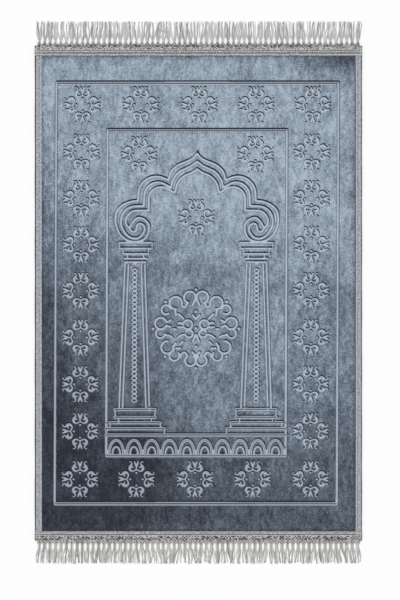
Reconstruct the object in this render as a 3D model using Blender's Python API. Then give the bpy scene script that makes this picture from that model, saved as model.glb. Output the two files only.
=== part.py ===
"""A velvet prayer rug, 0.80 m wide, lying flat with its fringes combed out at both ends.

The rug is a velvet panel with a pattern pressed into its pile, a tape folded around each long side, and
a fringed tape over each end. The pattern is a pointed arch of three lines on two columns, with a row of
small arches under them, a round ornament and small flowers of four palmettes.

Metres, +Z up, +Y towards the arch's point, with the origin in the middle of the underside. The pattern's
tables are in millimetres: "across" runs from the pattern's middle line and "up" along the rug from its
middle. Each pressed line is a V-shaped groove in the pile, and each small leaf, ring or bud is a pit.
"""
import math
from collections import namedtuple

import bpy
import numpy as np
from mathutils.geometry import delaunay_2d_cdt

MM = 0.001

# The whole rug
BODY_WIDTH = 0.800
OVERALL_LENGTH = 1.325
HEAD_FRINGE = 0.0555
FOOT_FRINGE = 0.053
HEAD_END = OVERALL_LENGTH / 2 - HEAD_FRINGE
FOOT_END = -OVERALL_LENGTH / 2 + FOOT_FRINGE
HEAD_TAPE_WIDTH = 0.030
FOOT_TAPE_WIDTH = 0.026
BINDING_WIDTH = 0.017
GAP = 0.0003

# Heights above the floor
PILE_TOP = 0.0050
TAPE = 0.0010
BINDING_TOP = 0.0041
END_TAPE_TOP = 0.0052
END_TAPE_UNDER = BINDING_TOP + GAP
EDGE_UNDER = TAPE + GAP
EDGE_TOP = BINDING_TOP - TAPE - GAP
NOSE = 0.0040
SLOPE = 0.0014

# The panel's own outline, inside the folded tapes
PANEL_HALF_WIDTH = BODY_WIDTH / 2 - TAPE - GAP
PANEL_HEAD = HEAD_END - NOSE - GAP
PANEL_FOOT = FOOT_END + NOSE + GAP
EDGE_FOOT = BODY_WIDTH / 2 - BINDING_WIDTH - 2 * GAP
EDGE_STEP = BODY_WIDTH / 2 - BINDING_WIDTH - 4 * GAP
HEAD_SEAM = HEAD_END - HEAD_TAPE_WIDTH
FOOT_SEAM = FOOT_END + FOOT_TAPE_WIDTH

# How the pattern lies on the panel: its middle line is off centre and leans a little
PATTERN_SHIFT = -0.0046
PATTERN_LEAN = 0.0043

# Pressing
GROOVE_DEPTH = 0.0016
PIT_DEPTH = 0.0013
PIT_REACH = 0.0012
RIM_SHARE = 0.98
SHARPEST_MITRE = 0.5
FRAME_LINE = 8.5
ARCH_LINE = 7.0
COLUMN_LINE = 5.0
ARCADE_LINE = 5.5
SCROLL_LINE = 5.0
MERGE = 0.0001

# Frames, in millimetres
OUTER_FRAME_HALF = 344.3
OUTER_FRAME_UP = 512.5
OUTER_FRAME_DOWN = -516.4
INNER_FRAME_HALF = 219.3
INNER_FRAME_UP = 396.8
INNER_FRAME_DOWN = -395.4

# Flowers, in millimetres
FLOWER_COLUMNS = 5
FLOWER_ROWS = 9
FLOWER_PITCH_ACROSS = 140.9
FLOWER_PITCH_UP = 114.5
FLOWER_TOP_UP = 460.4
SPANDREL_FLOWER_ACROSS = 141.5
SPANDREL_FLOWER_UP = 340.6
FIELD_FLOWER_UP = 186.6
PALMETTE_FROM_MIDDLE = 19.0
DOT_FROM_MIDDLE = 14.5
DOT_HALF = 3.2

# Arch, in millimetres: three lines, each one step inside the last
ARCH_LINES = 3
ARCH_STEP = 13.0
OGEE_ACROSS = 30.3
HOLLOW_UP = 353.5
HOLLOW_RADIUS = 32.5
SHOULDER_UP = 281.9
SHOULDER_RADIUS = 39.1
SHOULDER_LEAVES = math.radians(15)
FOIL_ACROSS = 99.8
FOIL_UP = 241.6
FOIL_RADIUS = 44.0
FOIL_LEAVES = math.radians(110)
SCROLL_ACROSS = 147.4
SCROLL_UP = 174.3
SCROLL_RADIUS = 53.3
SCROLL_ENDS = math.radians(-57)
EYE_UP = 162.1

# Columns, in millimetres
COLUMN_ACROSS = 147.7
SHAFT_TOP_UP = 74.0
SHAFT_FOOT_UP = -283.0
SHAFT_TOP_HALF = 19.6
SHAFT_FOOT_HALF = 32.5
SHAFT_LINE = 8.0
RING_COUNT = 30
RING_TOP_UP = 52.3
RING_PITCH = 10.93
RING_RADIUS = 4.6

# Small arches under the columns, in millimetres
SMALL_ARCHES = 10
SMALL_ARCH_PITCH = 43.2
SMALL_ARCH_FOOT_UP = -392.0
OUTER_SMALL_ARCH_HALF = 17.6
OUTER_SMALL_ARCH_RISE = 32.5
INNER_SMALL_ARCH_HALF = 9.5
INNER_SMALL_ARCH_RISE = 15.5

# Round ornament, in millimetres
ORNAMENT_UP = -88.5
BUD_HALF = 4.0
CURL_OPENING = 100

# Fringe
TASSELS = 60
TASSEL_MARGIN = 0.0045
TRUNK_LENGTH = 0.009
TRUNK_ROOT_WIDTH = 0.0056
TRUNK_NECK_WIDTH = 0.0036
STRAND_TIP_WIDTH = 0.0028
STRAND_SPREAD = 0.0030
TRUNK_ROOT_TOP = 0.0032
TRUNK_NECK_TOP = 0.0028
STRAND_TIP_TOP = 0.0020
LEAN_REACH = 0.0010
LENGTH_REACH = 0.0040

FlatPart = namedtuple("FlatPart", "half_width top bottom")
# Bands of a column from the capital down: half width, upper and lower line above the rug's middle
COLUMN_BANDS = (
    FlatPart(40.3, 122.0, 109.0),
    FlatPart(32.4, 104.0, 93.0),
    FlatPart(27.0, 85.0, 76.5),
    FlatPart(50.4, -285.0, -308.0),
)
Plinth = namedtuple("Plinth", "inner_end up")
# Plinth lines that run out to the inner frame: where the inner end lies across, and how far up
PLINTHS = (Plinth(86.0, -317.5), Plinth(76.0, -333.5), Plinth(0.0, -349.5))

ScrollPoint = namedtuple("ScrollPoint", "across up")
# The middle and inner arch lines as they wind into the scroll, from the scroll's eye
MIDDLE_SCROLL = (
    ScrollPoint(4.0, 53.1), ScrollPoint(28.0, 41.6), ScrollPoint(39.3, 15.0), ScrollPoint(33.5, -11.0),
    ScrollPoint(18.0, -30.0), ScrollPoint(0.0, -35.6), ScrollPoint(-21.0, -27.5), ScrollPoint(-34.3, -2.0),
    ScrollPoint(-28.0, 14.5), ScrollPoint(-9.0, 24.0), ScrollPoint(8.0, 16.5), ScrollPoint(14.7, 4.9),
)
INNER_SCROLL = (
    ScrollPoint(-8.6, 42.1), ScrollPoint(10.0, 38.5), ScrollPoint(22.0, 22.0), ScrollPoint(23.5, -3.0),
    ScrollPoint(11.0, -22.8), ScrollPoint(-11.0, -24.8), ScrollPoint(-24.3, -10.5), ScrollPoint(-23.2, 4.9),
    ScrollPoint(-12.0, 10.8), ScrollPoint(-2.4, 6.1), ScrollPoint(1.0, -5.5),
)

Curl = namedtuple("Curl", "across up radius opens")
# Curls of the round ornament's right half, from its middle; "opens" is the opening's direction in degrees
CURLS = (
    Curl(15.4, 77.0, 14.0, 250), Curl(49.5, 63.0, 15.0, 230), Curl(73.3, 46.5, 11.0, 200),
    Curl(86.0, 13.0, 14.0, 180), Curl(87.0, -12.0, 11.0, 150), Curl(69.7, -45.5, 15.0, 130),
    Curl(52.6, -66.0, 12.0, 110), Curl(13.4, -78.0, 13.0, 90), Curl(20.2, 9.8, 11.0, 0),
    Curl(17.0, -12.2, 9.0, 0),
)
Vine = namedtuple("Vine", "start_across start_up bend_across bend_up end_across end_up")
# Short vines between the curls of the round ornament's right half
VINES = (
    Vine(36.0, 43.0, 44.0, 49.0, 55.0, 47.0), Vine(31.0, 33.0, 39.0, 37.5, 47.0, 35.0),
    Vine(33.0, 22.0, 42.0, 19.0, 50.0, 23.0), Vine(34.0, 8.0, 43.0, 9.0, 52.0, 4.0),
    Vine(56.0, 4.0, 62.0, 7.0, 69.0, 2.0), Vine(30.0, -14.0, 39.0, -15.0, 46.0, -23.0),
    Vine(56.0, -22.0, 62.0, -16.0, 70.0, -15.0), Vine(28.0, -29.0, 37.0, -31.0, 45.0, -36.0),
    Vine(20.0, -52.0, 28.0, -55.0, 36.0, -53.0), Vine(14.0, 52.0, 22.0, 49.0, 27.0, 56.0),
)
# Chevrons on the round ornament's middle line: how far up their points are
CHEVRONS = (52.0, 27.0, -26.0, -62.0)
CHEVRON_HALF = 8.0
Bud = namedtuple("Bud", "across up")
# Buds of the round ornament's right half and middle line
BUDS = (
    Bud(0.0, 95.5), Bud(74.8, 66.0), Bud(105.0, 0.0), Bud(75.0, -68.0), Bud(0.0, -96.5),
    Bud(0.0, 42.0), Bud(0.0, 1.0), Bud(0.0, -44.0),
)

PalmettePoint = namedtuple("PalmettePoint", "across out")
# Rim of one palmette, outwards from its stem, and the pressed points inside it
PALMETTE_RIM = (
    PalmettePoint(0.0, 0.0), PalmettePoint(14.0, 4.0), PalmettePoint(21.0, 22.0), PalmettePoint(8.0, 19.0),
    PalmettePoint(0.0, 27.0), PalmettePoint(-8.0, 19.0), PalmettePoint(-21.0, 22.0),
    PalmettePoint(-14.0, 4.0),
)
PALMETTE_FLOOR = (PalmettePoint(-12.0, 11.0), PalmettePoint(0.0, 12.0), PalmettePoint(12.0, 11.0))

VELVET = (0.20, 0.26, 0.34)
TAPE_GREY = (0.42, 0.42, 0.44)
FRINGE_GREY = (0.56, 0.54, 0.52)


class Net:
    """The points and edges that the panel's top is triangulated on, and what is pressed into it."""

    def __init__(self):
        self.points = []
        self.edges = []
        self.presses = []

    def line(self, points, closed=False):
        """Adds points joined by edges, in metres on the panel."""
        first = len(self.points)
        self.points.extend(points)
        count = len(points)
        last = count if closed else count - 1
        for i in range(last):
            self.edges.append((first + i, first + (i + 1) % count))

    def press(self, points, reach, depth):
        """Notes that the pile is pressed along these points, less and less out to the reach."""
        for start, end in zip(points, points[1:] or points):
            self.presses.append((*start, *end, reach, depth))


def laid(point):
    """A point of the pattern, in millimetres, on the panel in metres."""
    across, up = point
    return (across * MM + PATTERN_SHIFT + PATTERN_LEAN * up * MM, up * MM)


def beside(points, offset, closed):
    """The points moved sideways by the offset, with mitred corners."""
    path = np.array(points)
    step = np.roll(path, -1, axis=0) - path
    if not closed:
        step[-1] = step[-2]
    step /= np.linalg.norm(step, axis=1)[:, None]
    before = np.roll(step, 1, axis=0)
    if not closed:
        before[0] = step[0]
    normal = np.stack([-(step + before)[:, 1], (step + before)[:, 0]], axis=1)
    normal /= np.linalg.norm(normal, axis=1)[:, None]
    turn = np.maximum(normal[:, 0] * -step[:, 1] + normal[:, 1] * step[:, 0], SHARPEST_MITRE)
    return [tuple(p) for p in path + normal * (offset / turn)[:, None]]


def beyond(before, end, distance):
    """A point past the end of a line that comes from the point before it."""
    length = math.dist(before, end)
    return tuple(e + (e - b) / length * distance for b, e in zip(before, end))


def groove(net, path, width, closed=False):
    """A V-shaped groove along a path of the pattern, both in millimetres."""
    middle = [laid(p) for p in path]
    half = width * MM / 2
    net.line(middle, closed)
    left, right = beside(middle, half, closed), beside(middle, -half, closed)
    if closed:
        net.line(left, closed)
        net.line(right, closed)
        middle.append(middle[0])
    else:
        end = beyond(middle[-2], middle[-1], half)
        start = beyond(middle[1], middle[0], half)
        net.line([*left, end, *reversed(right), start], closed=True)
    net.press(middle, half * RIM_SHARE, GROOVE_DEPTH)


def pit(net, rim, floor):
    """A hollow from its rim down to its floor's points, all in millimetres."""
    net.line([laid(p) for p in rim], closed=True)
    bottom = [laid(p) for p in floor]
    net.line(bottom)
    net.press(bottom, PIT_REACH, PIT_DEPTH)


def arc(across, up, radius, start, end, steps):
    """Points of an arc from one angle to another, in millimetres."""
    angles = np.linspace(start, end, steps + 1)
    return [(across + radius * math.cos(a), up + radius * math.sin(a)) for a in angles]


def through(points, steps):
    """A smooth cubic curve through the points, with so many steps between each two."""
    keys = np.array([points[0], *points, points[-1]], dtype=float)
    curve = [tuple(keys[1])]
    for i in range(1, len(keys) - 2):
        a, b, c, d = keys[i - 1 : i + 3]
        for t in np.linspace(0, 1, steps + 1)[1:]:
            bend = (2 * a - 5 * b + 4 * c - d) * t**2 + (3 * b - a - 3 * c + d) * t**3
            curve.append(tuple(b + 0.5 * ((c - a) * t + bend)))
    return curve


def crossing(start_a, way_a, start_b, way_b):
    """Where two straight lines meet."""
    t = np.linalg.solve(np.array([way_a, (-way_b[0], -way_b[1])]).T, np.subtract(start_b, start_a))[0]
    return (start_a[0] + way_a[0] * t, start_a[1] + way_a[1] * t)


def half_arch(line):
    """The right half of one arch line, from the point down to the scroll's eye; line 0 is the outer one."""
    inset = line * ARCH_STEP
    hollow = HOLLOW_RADIUS + inset
    apex = -math.acos(-OGEE_ACROSS / hollow)
    points = arc(OGEE_ACROSS, HOLLOW_UP, hollow, apex, -math.pi / 2, 4)
    shoulder = SHOULDER_RADIUS - inset
    points += arc(OGEE_ACROSS, SHOULDER_UP, shoulder, math.pi / 2, SHOULDER_LEAVES, 5)[1:]
    foil = arc(FOIL_ACROSS, FOIL_UP, FOIL_RADIUS - inset, FOIL_LEAVES, 0, 7)
    down = (math.sin(SHOULDER_LEAVES), -math.cos(SHOULDER_LEAVES))
    inwards = (math.sin(FOIL_LEAVES), -math.cos(FOIL_LEAVES))
    points.append(crossing(points[-1], down, foil[0], inwards))
    points += foil
    corner = foil[-1][0]
    if line == 0:
        start = math.acos((corner - SCROLL_ACROSS) / SCROLL_RADIUS)
        return points + arc(SCROLL_ACROSS, SCROLL_UP, SCROLL_RADIUS, start, SCROLL_ENDS, 10)
    scroll = MIDDLE_SCROLL if line == 1 else INNER_SCROLL
    keys = [(SCROLL_ACROSS + p.across, EYE_UP + p.up) for p in scroll]
    return points + [(corner, keys[0][1])] + through(keys, 2)


def both_sides(paths):
    """Each path and its mirror image."""
    return [*paths, *[[(-across, up) for across, up in path] for path in paths]]


def press_frames(net):
    """The two rectangular frames."""
    for half, up, down in (
        (OUTER_FRAME_HALF, OUTER_FRAME_UP, OUTER_FRAME_DOWN),
        (INNER_FRAME_HALF, INNER_FRAME_UP, INNER_FRAME_DOWN),
    ):
        groove(net, [(-half, down), (half, down), (half, up), (-half, up)], FRAME_LINE, closed=True)


def press_arch(net):
    """The three lines of the arch, each whole from scroll to scroll."""
    for line in range(ARCH_LINES):
        right = half_arch(line)
        left = [(-across, up) for across, up in reversed(right)]
        groove(net, left + right[1:], ARCH_LINE)


def press_columns(net):
    """Both columns: capital, tapering shaft, chain of rings and plinths."""
    for side in (-1, 1):
        middle = side * COLUMN_ACROSS
        for band in COLUMN_BANDS:
            left, right = middle - band.half_width, middle + band.half_width
            corners = [(left, band.bottom), (right, band.bottom), (right, band.top), (left, band.top)]
            groove(net, corners, COLUMN_LINE, closed=True)
        for edge in (-1, 1):
            top = (middle + edge * SHAFT_TOP_HALF, SHAFT_TOP_UP)
            groove(net, [top, (middle + edge * SHAFT_FOOT_HALF, SHAFT_FOOT_UP)], SHAFT_LINE)
        for ring in range(RING_COUNT):
            up = RING_TOP_UP - ring * RING_PITCH
            pit(net, arc(middle, up, RING_RADIUS, 0, 2 * math.pi, 6)[:-1], [(middle, up)])
    outer_end = INNER_FRAME_HALF - FRAME_LINE
    for plinth in PLINTHS[:-1]:
        ends = [(plinth.inner_end, plinth.up), (outer_end, plinth.up)]
        for path in both_sides([ends]):
            groove(net, path, COLUMN_LINE)
    groove(net, [(-outer_end, PLINTHS[-1].up), (outer_end, PLINTHS[-1].up)], COLUMN_LINE)


def press_small_arches(net):
    """The row of small double arches."""
    for number in range(SMALL_ARCHES):
        middle = (number - (SMALL_ARCHES - 1) / 2) * SMALL_ARCH_PITCH
        for half, rise in (
            (OUTER_SMALL_ARCH_HALF, OUTER_SMALL_ARCH_RISE),
            (INNER_SMALL_ARCH_HALF, INNER_SMALL_ARCH_RISE),
        ):
            round_top = arc(0, 0, 1, math.pi, 0, 6)
            path = [(middle + half * a, SMALL_ARCH_FOOT_UP + rise * u) for a, u in round_top]
            groove(net, path, ARCADE_LINE)


def press_ornament(net):
    """The round ornament's curls, vines, chevrons and buds."""
    curls = []
    for curl in CURLS:
        start = math.radians(curl.opens + CURL_OPENING / 2)
        end = math.radians(curl.opens + 360 - CURL_OPENING / 2)
        curls.append(arc(curl.across, curl.up + ORNAMENT_UP, curl.radius, start, end, 6))
    for vine in VINES:
        keys = [vine[i : i + 2] for i in (0, 2, 4)]
        curls.append([(across, up + ORNAMENT_UP) for across, up in through(keys, 2)])
    for path in both_sides(curls):
        groove(net, path, SCROLL_LINE)
    for up in CHEVRONS:
        rise = up + ORNAMENT_UP
        half = CHEVRON_HALF
        groove(net, [(-half, rise + half), (0, rise), (half, rise + half)], SCROLL_LINE)
    for bud in BUDS:
        for side in (-1, 1) if bud.across else (1,):
            across, up = side * bud.across, bud.up + ORNAMENT_UP
            pit(net, arc(across, up, BUD_HALF, 0, 2 * math.pi, 6)[:-1], [(across, up)])


def flower_places():
    """Middles of the border's flowers, of the two beside the arch and of the one under it."""
    places = []
    for row in range(FLOWER_ROWS):
        for column in range(FLOWER_COLUMNS):
            if row in (0, FLOWER_ROWS - 1) or column in (0, FLOWER_COLUMNS - 1):
                across = (column - (FLOWER_COLUMNS - 1) / 2) * FLOWER_PITCH_ACROSS
                places.append((across, FLOWER_TOP_UP - row * FLOWER_PITCH_UP))
    places.append((-SPANDREL_FLOWER_ACROSS, SPANDREL_FLOWER_UP))
    places.append((SPANDREL_FLOWER_ACROSS, SPANDREL_FLOWER_UP))
    places.append((0.0, FIELD_FLOWER_UP))
    return places


def press_flowers(net):
    """Each flower's four palmettes and the four dots inside them."""
    for across, up in flower_places():
        for quarter in range(4):
            sine, cosine = round(math.sin(quarter * math.pi / 2)), round(math.cos(quarter * math.pi / 2))

            def turned(p, reach):
                side, out = p[0], p[1] + reach
                return (across + side * cosine - out * sine, up + side * sine + out * cosine)

            rim = [turned(p, PALMETTE_FROM_MIDDLE) for p in PALMETTE_RIM]
            pit(net, rim, [turned(p, PALMETTE_FROM_MIDDLE) for p in PALMETTE_FLOOR])
            dot = [(DOT_HALF, 0), (0, DOT_HALF), (-DOT_HALF, 0), (0, -DOT_HALF)]
            pit(net, [turned(p, DOT_FROM_MIDDLE) for p in dot], [turned((0, 0), DOT_FROM_MIDDLE)])


def pressed_depth(points, presses):
    """How deep each point is pressed: the deepest of the lines around it, falling off with distance."""
    table = np.array(presses)
    start, end, reach, depth = table[:, 0:2], table[:, 2:4], table[:, 4], table[:, 5]
    way = end - start
    square = np.maximum((way**2).sum(axis=1), 1e-12)
    deepest = np.zeros(len(points))
    for i, point in enumerate(points):
        along = np.clip(((point - start) * way).sum(axis=1) / square, 0, 1)
        distance = np.linalg.norm(point - start - way * along[:, None], axis=1)
        deepest[i] = (depth * np.clip(1 - distance / reach, 0, 1)).max()
    return deepest


def unpressed_top(points):
    """The pile's height before the pattern is pressed: lower where the tapes hold it down."""
    across, up = np.abs(points[:, 0]), points[:, 1]
    end = np.maximum(up - HEAD_SEAM, FOOT_SEAM - up)
    under_end_tape = np.interp(end, [-SLOPE, 0], [PILE_TOP, BINDING_TOP])
    under_binding = np.interp(across, [EDGE_STEP, EDGE_FOOT], [PILE_TOP, EDGE_TOP])
    return np.minimum(under_end_tape, under_binding)


def panel_net():
    """All that the panel's top follows: its outline, the tapes' edges and the pattern."""
    net = Net()
    wide, head, foot = PANEL_HALF_WIDTH, PANEL_HEAD, PANEL_FOOT
    net.line([(-wide, foot), (wide, foot), (wide, head), (-wide, head)], closed=True)
    for across in (-EDGE_FOOT, -EDGE_STEP, EDGE_STEP, EDGE_FOOT):
        net.line([(across, foot), (across, head)])
    for up in (FOOT_SEAM, FOOT_SEAM + SLOPE, HEAD_SEAM - SLOPE, HEAD_SEAM):
        net.line([(-EDGE_FOOT, up), (EDGE_FOOT, up)])
    press_frames(net)
    press_arch(net)
    press_columns(net)
    press_small_arches(net)
    press_ornament(net)
    press_flowers(net)
    return net


def panel_top():
    """Points in space and triangles of the panel's top."""
    net = panel_net()
    flat, _, triangles, *_ = delaunay_2d_cdt(net.points, net.edges, [], 0, MERGE, False)
    points = np.array(flat)
    heights = unpressed_top(points) - pressed_depth(points, net.presses)
    return np.column_stack([points, heights]), triangles


def velvet_panel():
    """One closed solid: the pressed top, a flat underside and an edge that is thinner inside the tapes."""
    top, triangles = panel_top()
    vertices = [tuple(p) for p in top]
    faces = [tuple(t) for t in triangles]
    under = {}
    for end, up in (("foot", PANEL_FOOT), ("head", PANEL_HEAD)):
        for side in (-1, 1):
            for level, across, height in (
                ("rim", PANEL_HALF_WIDTH, EDGE_UNDER),
                ("step", EDGE_FOOT, EDGE_UNDER),
                ("floor", EDGE_FOOT, 0.0),
            ):
                under[end, side, level] = len(vertices)
                vertices.append((side * across, up, height))
    for end, up, way in (("foot", PANEL_FOOT, 1), ("head", PANEL_HEAD, -1)):
        edge = np.flatnonzero(np.isclose(top[:, 1], up, atol=MERGE))
        line = sorted((int(i) for i in edge), key=lambda i: -way * top[i, 0])
        under[end, way, "top"] = line[0]
        under[end, -way, "top"] = line[-1]
        below = [under[end, -way, level] for level in ("rim", "step", "floor")]
        below += [under[end, way, level] for level in ("floor", "step", "rim")]
        faces.append(tuple(line + below))
    for side in (-1, 1):
        for upper, lower in (("top", "rim"), ("rim", "step"), ("step", "floor")):
            face = [under["foot", side, upper], under["foot", side, lower]]
            face += [under["head", side, lower], under["head", side, upper]]
            faces.append(tuple(face if side > 0 else reversed(face)))
    floor = [under["foot", -1, "floor"], under["head", -1, "floor"]]
    faces.append(tuple(floor + [under["head", 1, "floor"], under["foot", 1, "floor"]]))
    return vertices, faces


def binding(side):
    """The tape folded around one long side: a lying U, open towards the panel."""
    outer, inner = side * BODY_WIDTH / 2, side * (BODY_WIDTH / 2 - BINDING_WIDTH)
    wall = outer - side * TAPE
    section = [
        (inner, 0.0), (outer, 0.0), (outer, BINDING_TOP), (inner, BINDING_TOP),
        (inner, BINDING_TOP - TAPE), (wall, BINDING_TOP - TAPE), (wall, TAPE), (inner, TAPE),
    ]
    vertices = [(x, y, z) for y in (PANEL_FOOT, PANEL_HEAD) for x, z in section]
    count = len(section)
    faces = [(i, (i + 1) % count, count + (i + 1) % count, count + i) for i in range(count)]
    faces += [tuple(reversed(range(count))), tuple(range(count, 2 * count))]
    if side > 0:
        faces = [tuple(reversed(face)) for face in faces]
    return vertices, faces


class FringedTape:
    """The tape over one end with its tassels: across runs with X, out runs away from the rug."""

    def __init__(self, end, way, tape_width, fringe_length, seed):
        self.end = end
        self.way = way
        self.tape_width = tape_width
        self.fringe_length = fringe_length
        self.random = np.random.default_rng(seed)
        self.vertices = []
        self.faces = []

    def add(self, across, out, height):
        """A vertex, and its number."""
        self.vertices.append((across, self.end + self.way * out, height))
        return len(self.vertices) - 1

    def face(self, *corners):
        """A face whose corners run anticlockwise seen from outside at the head end."""
        self.faces.append(corners if self.way > 0 else tuple(reversed(corners)))

    def strand(self, root, middle, length):
        """One strand from its root's four corners to its tip."""
        half = STRAND_TIP_WIDTH / 2
        corners = ((-half, 0.0), (half, 0.0), (half, STRAND_TIP_TOP), (-half, STRAND_TIP_TOP))
        tip = [self.add(middle + across, length, height) for across, height in corners]
        for i in range(4):
            j = (i + 1) % 4
            self.face(root[j], root[i], tip[i], tip[j])
        self.face(*reversed(tip))

    def tassel(self, root, middle, length):
        """A trunk from the tape's edge to its neck, where it parts into two strands."""
        lean = self.random.uniform(-LEAN_REACH, LEAN_REACH)
        neck = middle + lean * TRUNK_LENGTH / self.fringe_length
        half = TRUNK_NECK_WIDTH / 2
        low = [self.add(neck + s * half, TRUNK_LENGTH, 0.0) for s in (-1, 0, 1)]
        high = [self.add(neck + s * half, TRUNK_LENGTH, TRUNK_NECK_TOP) for s in (-1, 0, 1)]
        self.face(root[1], root[0], low[0], low[1], low[2])
        self.face(root[3], root[2], high[2], high[1], high[0])
        self.face(root[0], root[3], high[0], low[0])
        self.face(root[2], root[1], low[2], high[2])
        for side, left in ((-1, 0), (1, 1)):
            corners = [low[left], low[left + 1], high[left + 1], high[left]]
            self.strand(corners, middle + side * STRAND_SPREAD + lean, length)

    def build(self):
        """The tape, its folded nose and all the tassels, as one closed solid."""
        half = BODY_WIDTH / 2
        pitch = (BODY_WIDTH - 2 * TASSEL_MARGIN) / TASSELS
        middles = [-half + TASSEL_MARGIN + pitch * (i + 0.5) for i in range(TASSELS)]
        stations = [-half]
        for middle in middles:
            stations += [middle - TRUNK_ROOT_WIDTH / 2, middle + TRUNK_ROOT_WIDTH / 2]
        stations.append(half)
        low = [self.add(x, 0.0, 0.0) for x in stations]
        high = [self.add(x, 0.0, TRUNK_ROOT_TOP) for x in stations]
        rim = [self.add(x, 0.0, END_TAPE_TOP) for x in stations]
        seam, nose = -self.tape_width, -NOSE
        inside = [
            [self.add(x, seam, END_TAPE_TOP), self.add(x, seam, END_TAPE_UNDER),
             self.add(x, nose, END_TAPE_UNDER), self.add(x, nose, 0.0)]
            for x in (-half, half)
        ]
        for i in range(len(stations) - 1):
            self.face(high[i + 1], high[i], rim[i], rim[i + 1])
            if i % 2 == 0:
                self.face(low[i + 1], low[i], high[i], high[i + 1])
            else:
                length = self.fringe_length - self.random.uniform(0, LENGTH_REACH)
                if i in (1, len(stations) // 2, len(stations) - 3):
                    length = self.fringe_length
                root = [low[i], low[i + 1], high[i + 1], high[i]]
                self.tassel(root, middles[i // 2], length)
        left, right = inside
        self.face(*rim[::-1], left[0], right[0])
        self.face(right[0], left[0], left[1], right[1])
        self.face(right[1], left[1], left[2], right[2])
        self.face(right[2], left[2], left[3], right[3])
        self.face(right[3], left[3], *low)
        self.face(low[0], left[3], left[2], left[1], left[0], rim[0], high[0])
        self.face(*reversed((low[-1], right[3], right[2], right[1], right[0], rim[-1], high[-1])))
        return self.vertices, self.faces


def material(name, colour, roughness):
    """A plain cloth material."""
    made = bpy.data.materials.new(name)
    made.use_nodes = True
    shader = made.node_tree.nodes["Principled BSDF"]
    shader.inputs["Base Color"].default_value = (*colour, 1.0)
    shader.inputs["Roughness"].default_value = roughness
    shader.inputs["Metallic"].default_value = 0.0
    return made


def add_piece(name, shape, finish):
    """A named object of its own mesh."""
    vertices, faces = shape
    mesh = bpy.data.meshes.new(name)
    mesh.from_pydata(vertices, [], faces)
    mesh.validate()
    mesh.materials.append(finish)
    piece = bpy.data.objects.new(name, mesh)
    bpy.context.scene.collection.objects.link(piece)
    return piece


def clear_scene():
    """Takes out whatever the scene holds."""
    for piece in list(bpy.data.objects):
        bpy.data.objects.remove(piece, do_unlink=True)


def main():
    """Builds the rug."""
    clear_scene()
    velvet = material("velvet", VELVET, 0.9)
    tape = material("woven_tape", TAPE_GREY, 0.85)
    yarn = material("fringe_yarn", FRINGE_GREY, 0.9)
    add_piece("velvet_panel", velvet_panel(), velvet)
    add_piece("binding_left", binding(-1), tape)
    add_piece("binding_right", binding(1), tape)
    head = FringedTape(HEAD_END, 1, HEAD_TAPE_WIDTH, HEAD_FRINGE, seed=11)
    foot = FringedTape(FOOT_END, -1, FOOT_TAPE_WIDTH, FOOT_FRINGE, seed=29)
    add_piece("fringe_head", head.build(), yarn)
    add_piece("fringe_foot", foot.build(), yarn)


main()
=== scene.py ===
"""Looks of a velvet prayer rug that lies flat, with a pressed pattern, woven tapes and combed fringes.

The file is laid out as an add-on: settings, an operator for each group of pieces and one for the stage,
and a panel that lists them. Run as a script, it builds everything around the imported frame.

Metres, +Z up, +Y towards the arch's point. The pattern's tables are in millimetres: "across" runs from the
pattern's middle line and "up" along the rug from its middle. Pieces are worked out with numpy, either as a
height over the rug's surface or as a section carried along a path.
"""
import math
from collections import namedtuple

import bpy
import numpy as np
from bpy.props import FloatProperty, FloatVectorProperty, IntProperty, PointerProperty
from mathutils.geometry import delaunay_2d_cdt
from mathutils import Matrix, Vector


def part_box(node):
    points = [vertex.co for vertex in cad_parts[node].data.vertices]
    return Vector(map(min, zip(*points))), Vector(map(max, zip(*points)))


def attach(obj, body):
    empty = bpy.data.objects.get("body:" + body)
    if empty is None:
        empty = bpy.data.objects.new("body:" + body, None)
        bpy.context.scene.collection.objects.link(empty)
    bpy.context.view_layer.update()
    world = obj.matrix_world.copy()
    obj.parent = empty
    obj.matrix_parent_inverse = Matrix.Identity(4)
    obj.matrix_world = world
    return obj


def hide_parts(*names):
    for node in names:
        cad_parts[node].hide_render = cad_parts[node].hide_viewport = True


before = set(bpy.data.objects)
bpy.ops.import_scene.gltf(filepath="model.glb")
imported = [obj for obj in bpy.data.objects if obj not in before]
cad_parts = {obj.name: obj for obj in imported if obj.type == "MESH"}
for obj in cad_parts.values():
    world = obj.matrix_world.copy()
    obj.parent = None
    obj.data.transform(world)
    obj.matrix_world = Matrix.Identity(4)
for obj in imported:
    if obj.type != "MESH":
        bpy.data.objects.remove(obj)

bl_info = {
    "name": "Pressed velvet prayer rug",
    "version": (1, 0, 0),
    "blender": (4, 5, 0),
    "location": "3D View > Sidebar > Rug",
    "description": "Builds a prayer rug of pressed velvet with woven tapes and fringes",
    "category": "Add Mesh",
}

MM = 0.001

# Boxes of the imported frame's pieces, and sizes of the seats between them
PANEL_LOW, PANEL_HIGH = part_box("velvet_panel")
BINDING_LOW, BINDING_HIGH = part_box("binding_right")
HEAD_LOW, HEAD_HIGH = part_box("fringe_head")
FOOT_LOW, FOOT_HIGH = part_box("fringe_foot")
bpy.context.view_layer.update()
GAP = 0.0003
TAPE = 0.0010
NOSE = 0.0040
SLOPE = 0.0014
BODY_HALF = BINDING_HIGH.x
BINDING_TOP = BINDING_HIGH.z
BINDING_WIDTH = BODY_HALF - BINDING_LOW.x
PANEL_HALF = PANEL_HIGH.x
PILE_TOP = PANEL_HIGH.z
END_TAPE_TOP = HEAD_HIGH.z
END_TAPE_UNDER = BINDING_TOP + GAP
EDGE_UNDER = TAPE + GAP
EDGE_TOP = BINDING_TOP - TAPE - GAP
EDGE_FOOT = BODY_HALF - BINDING_WIDTH - 2 * GAP
EDGE_STEP = BODY_HALF - BINDING_WIDTH - 4 * GAP
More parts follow.
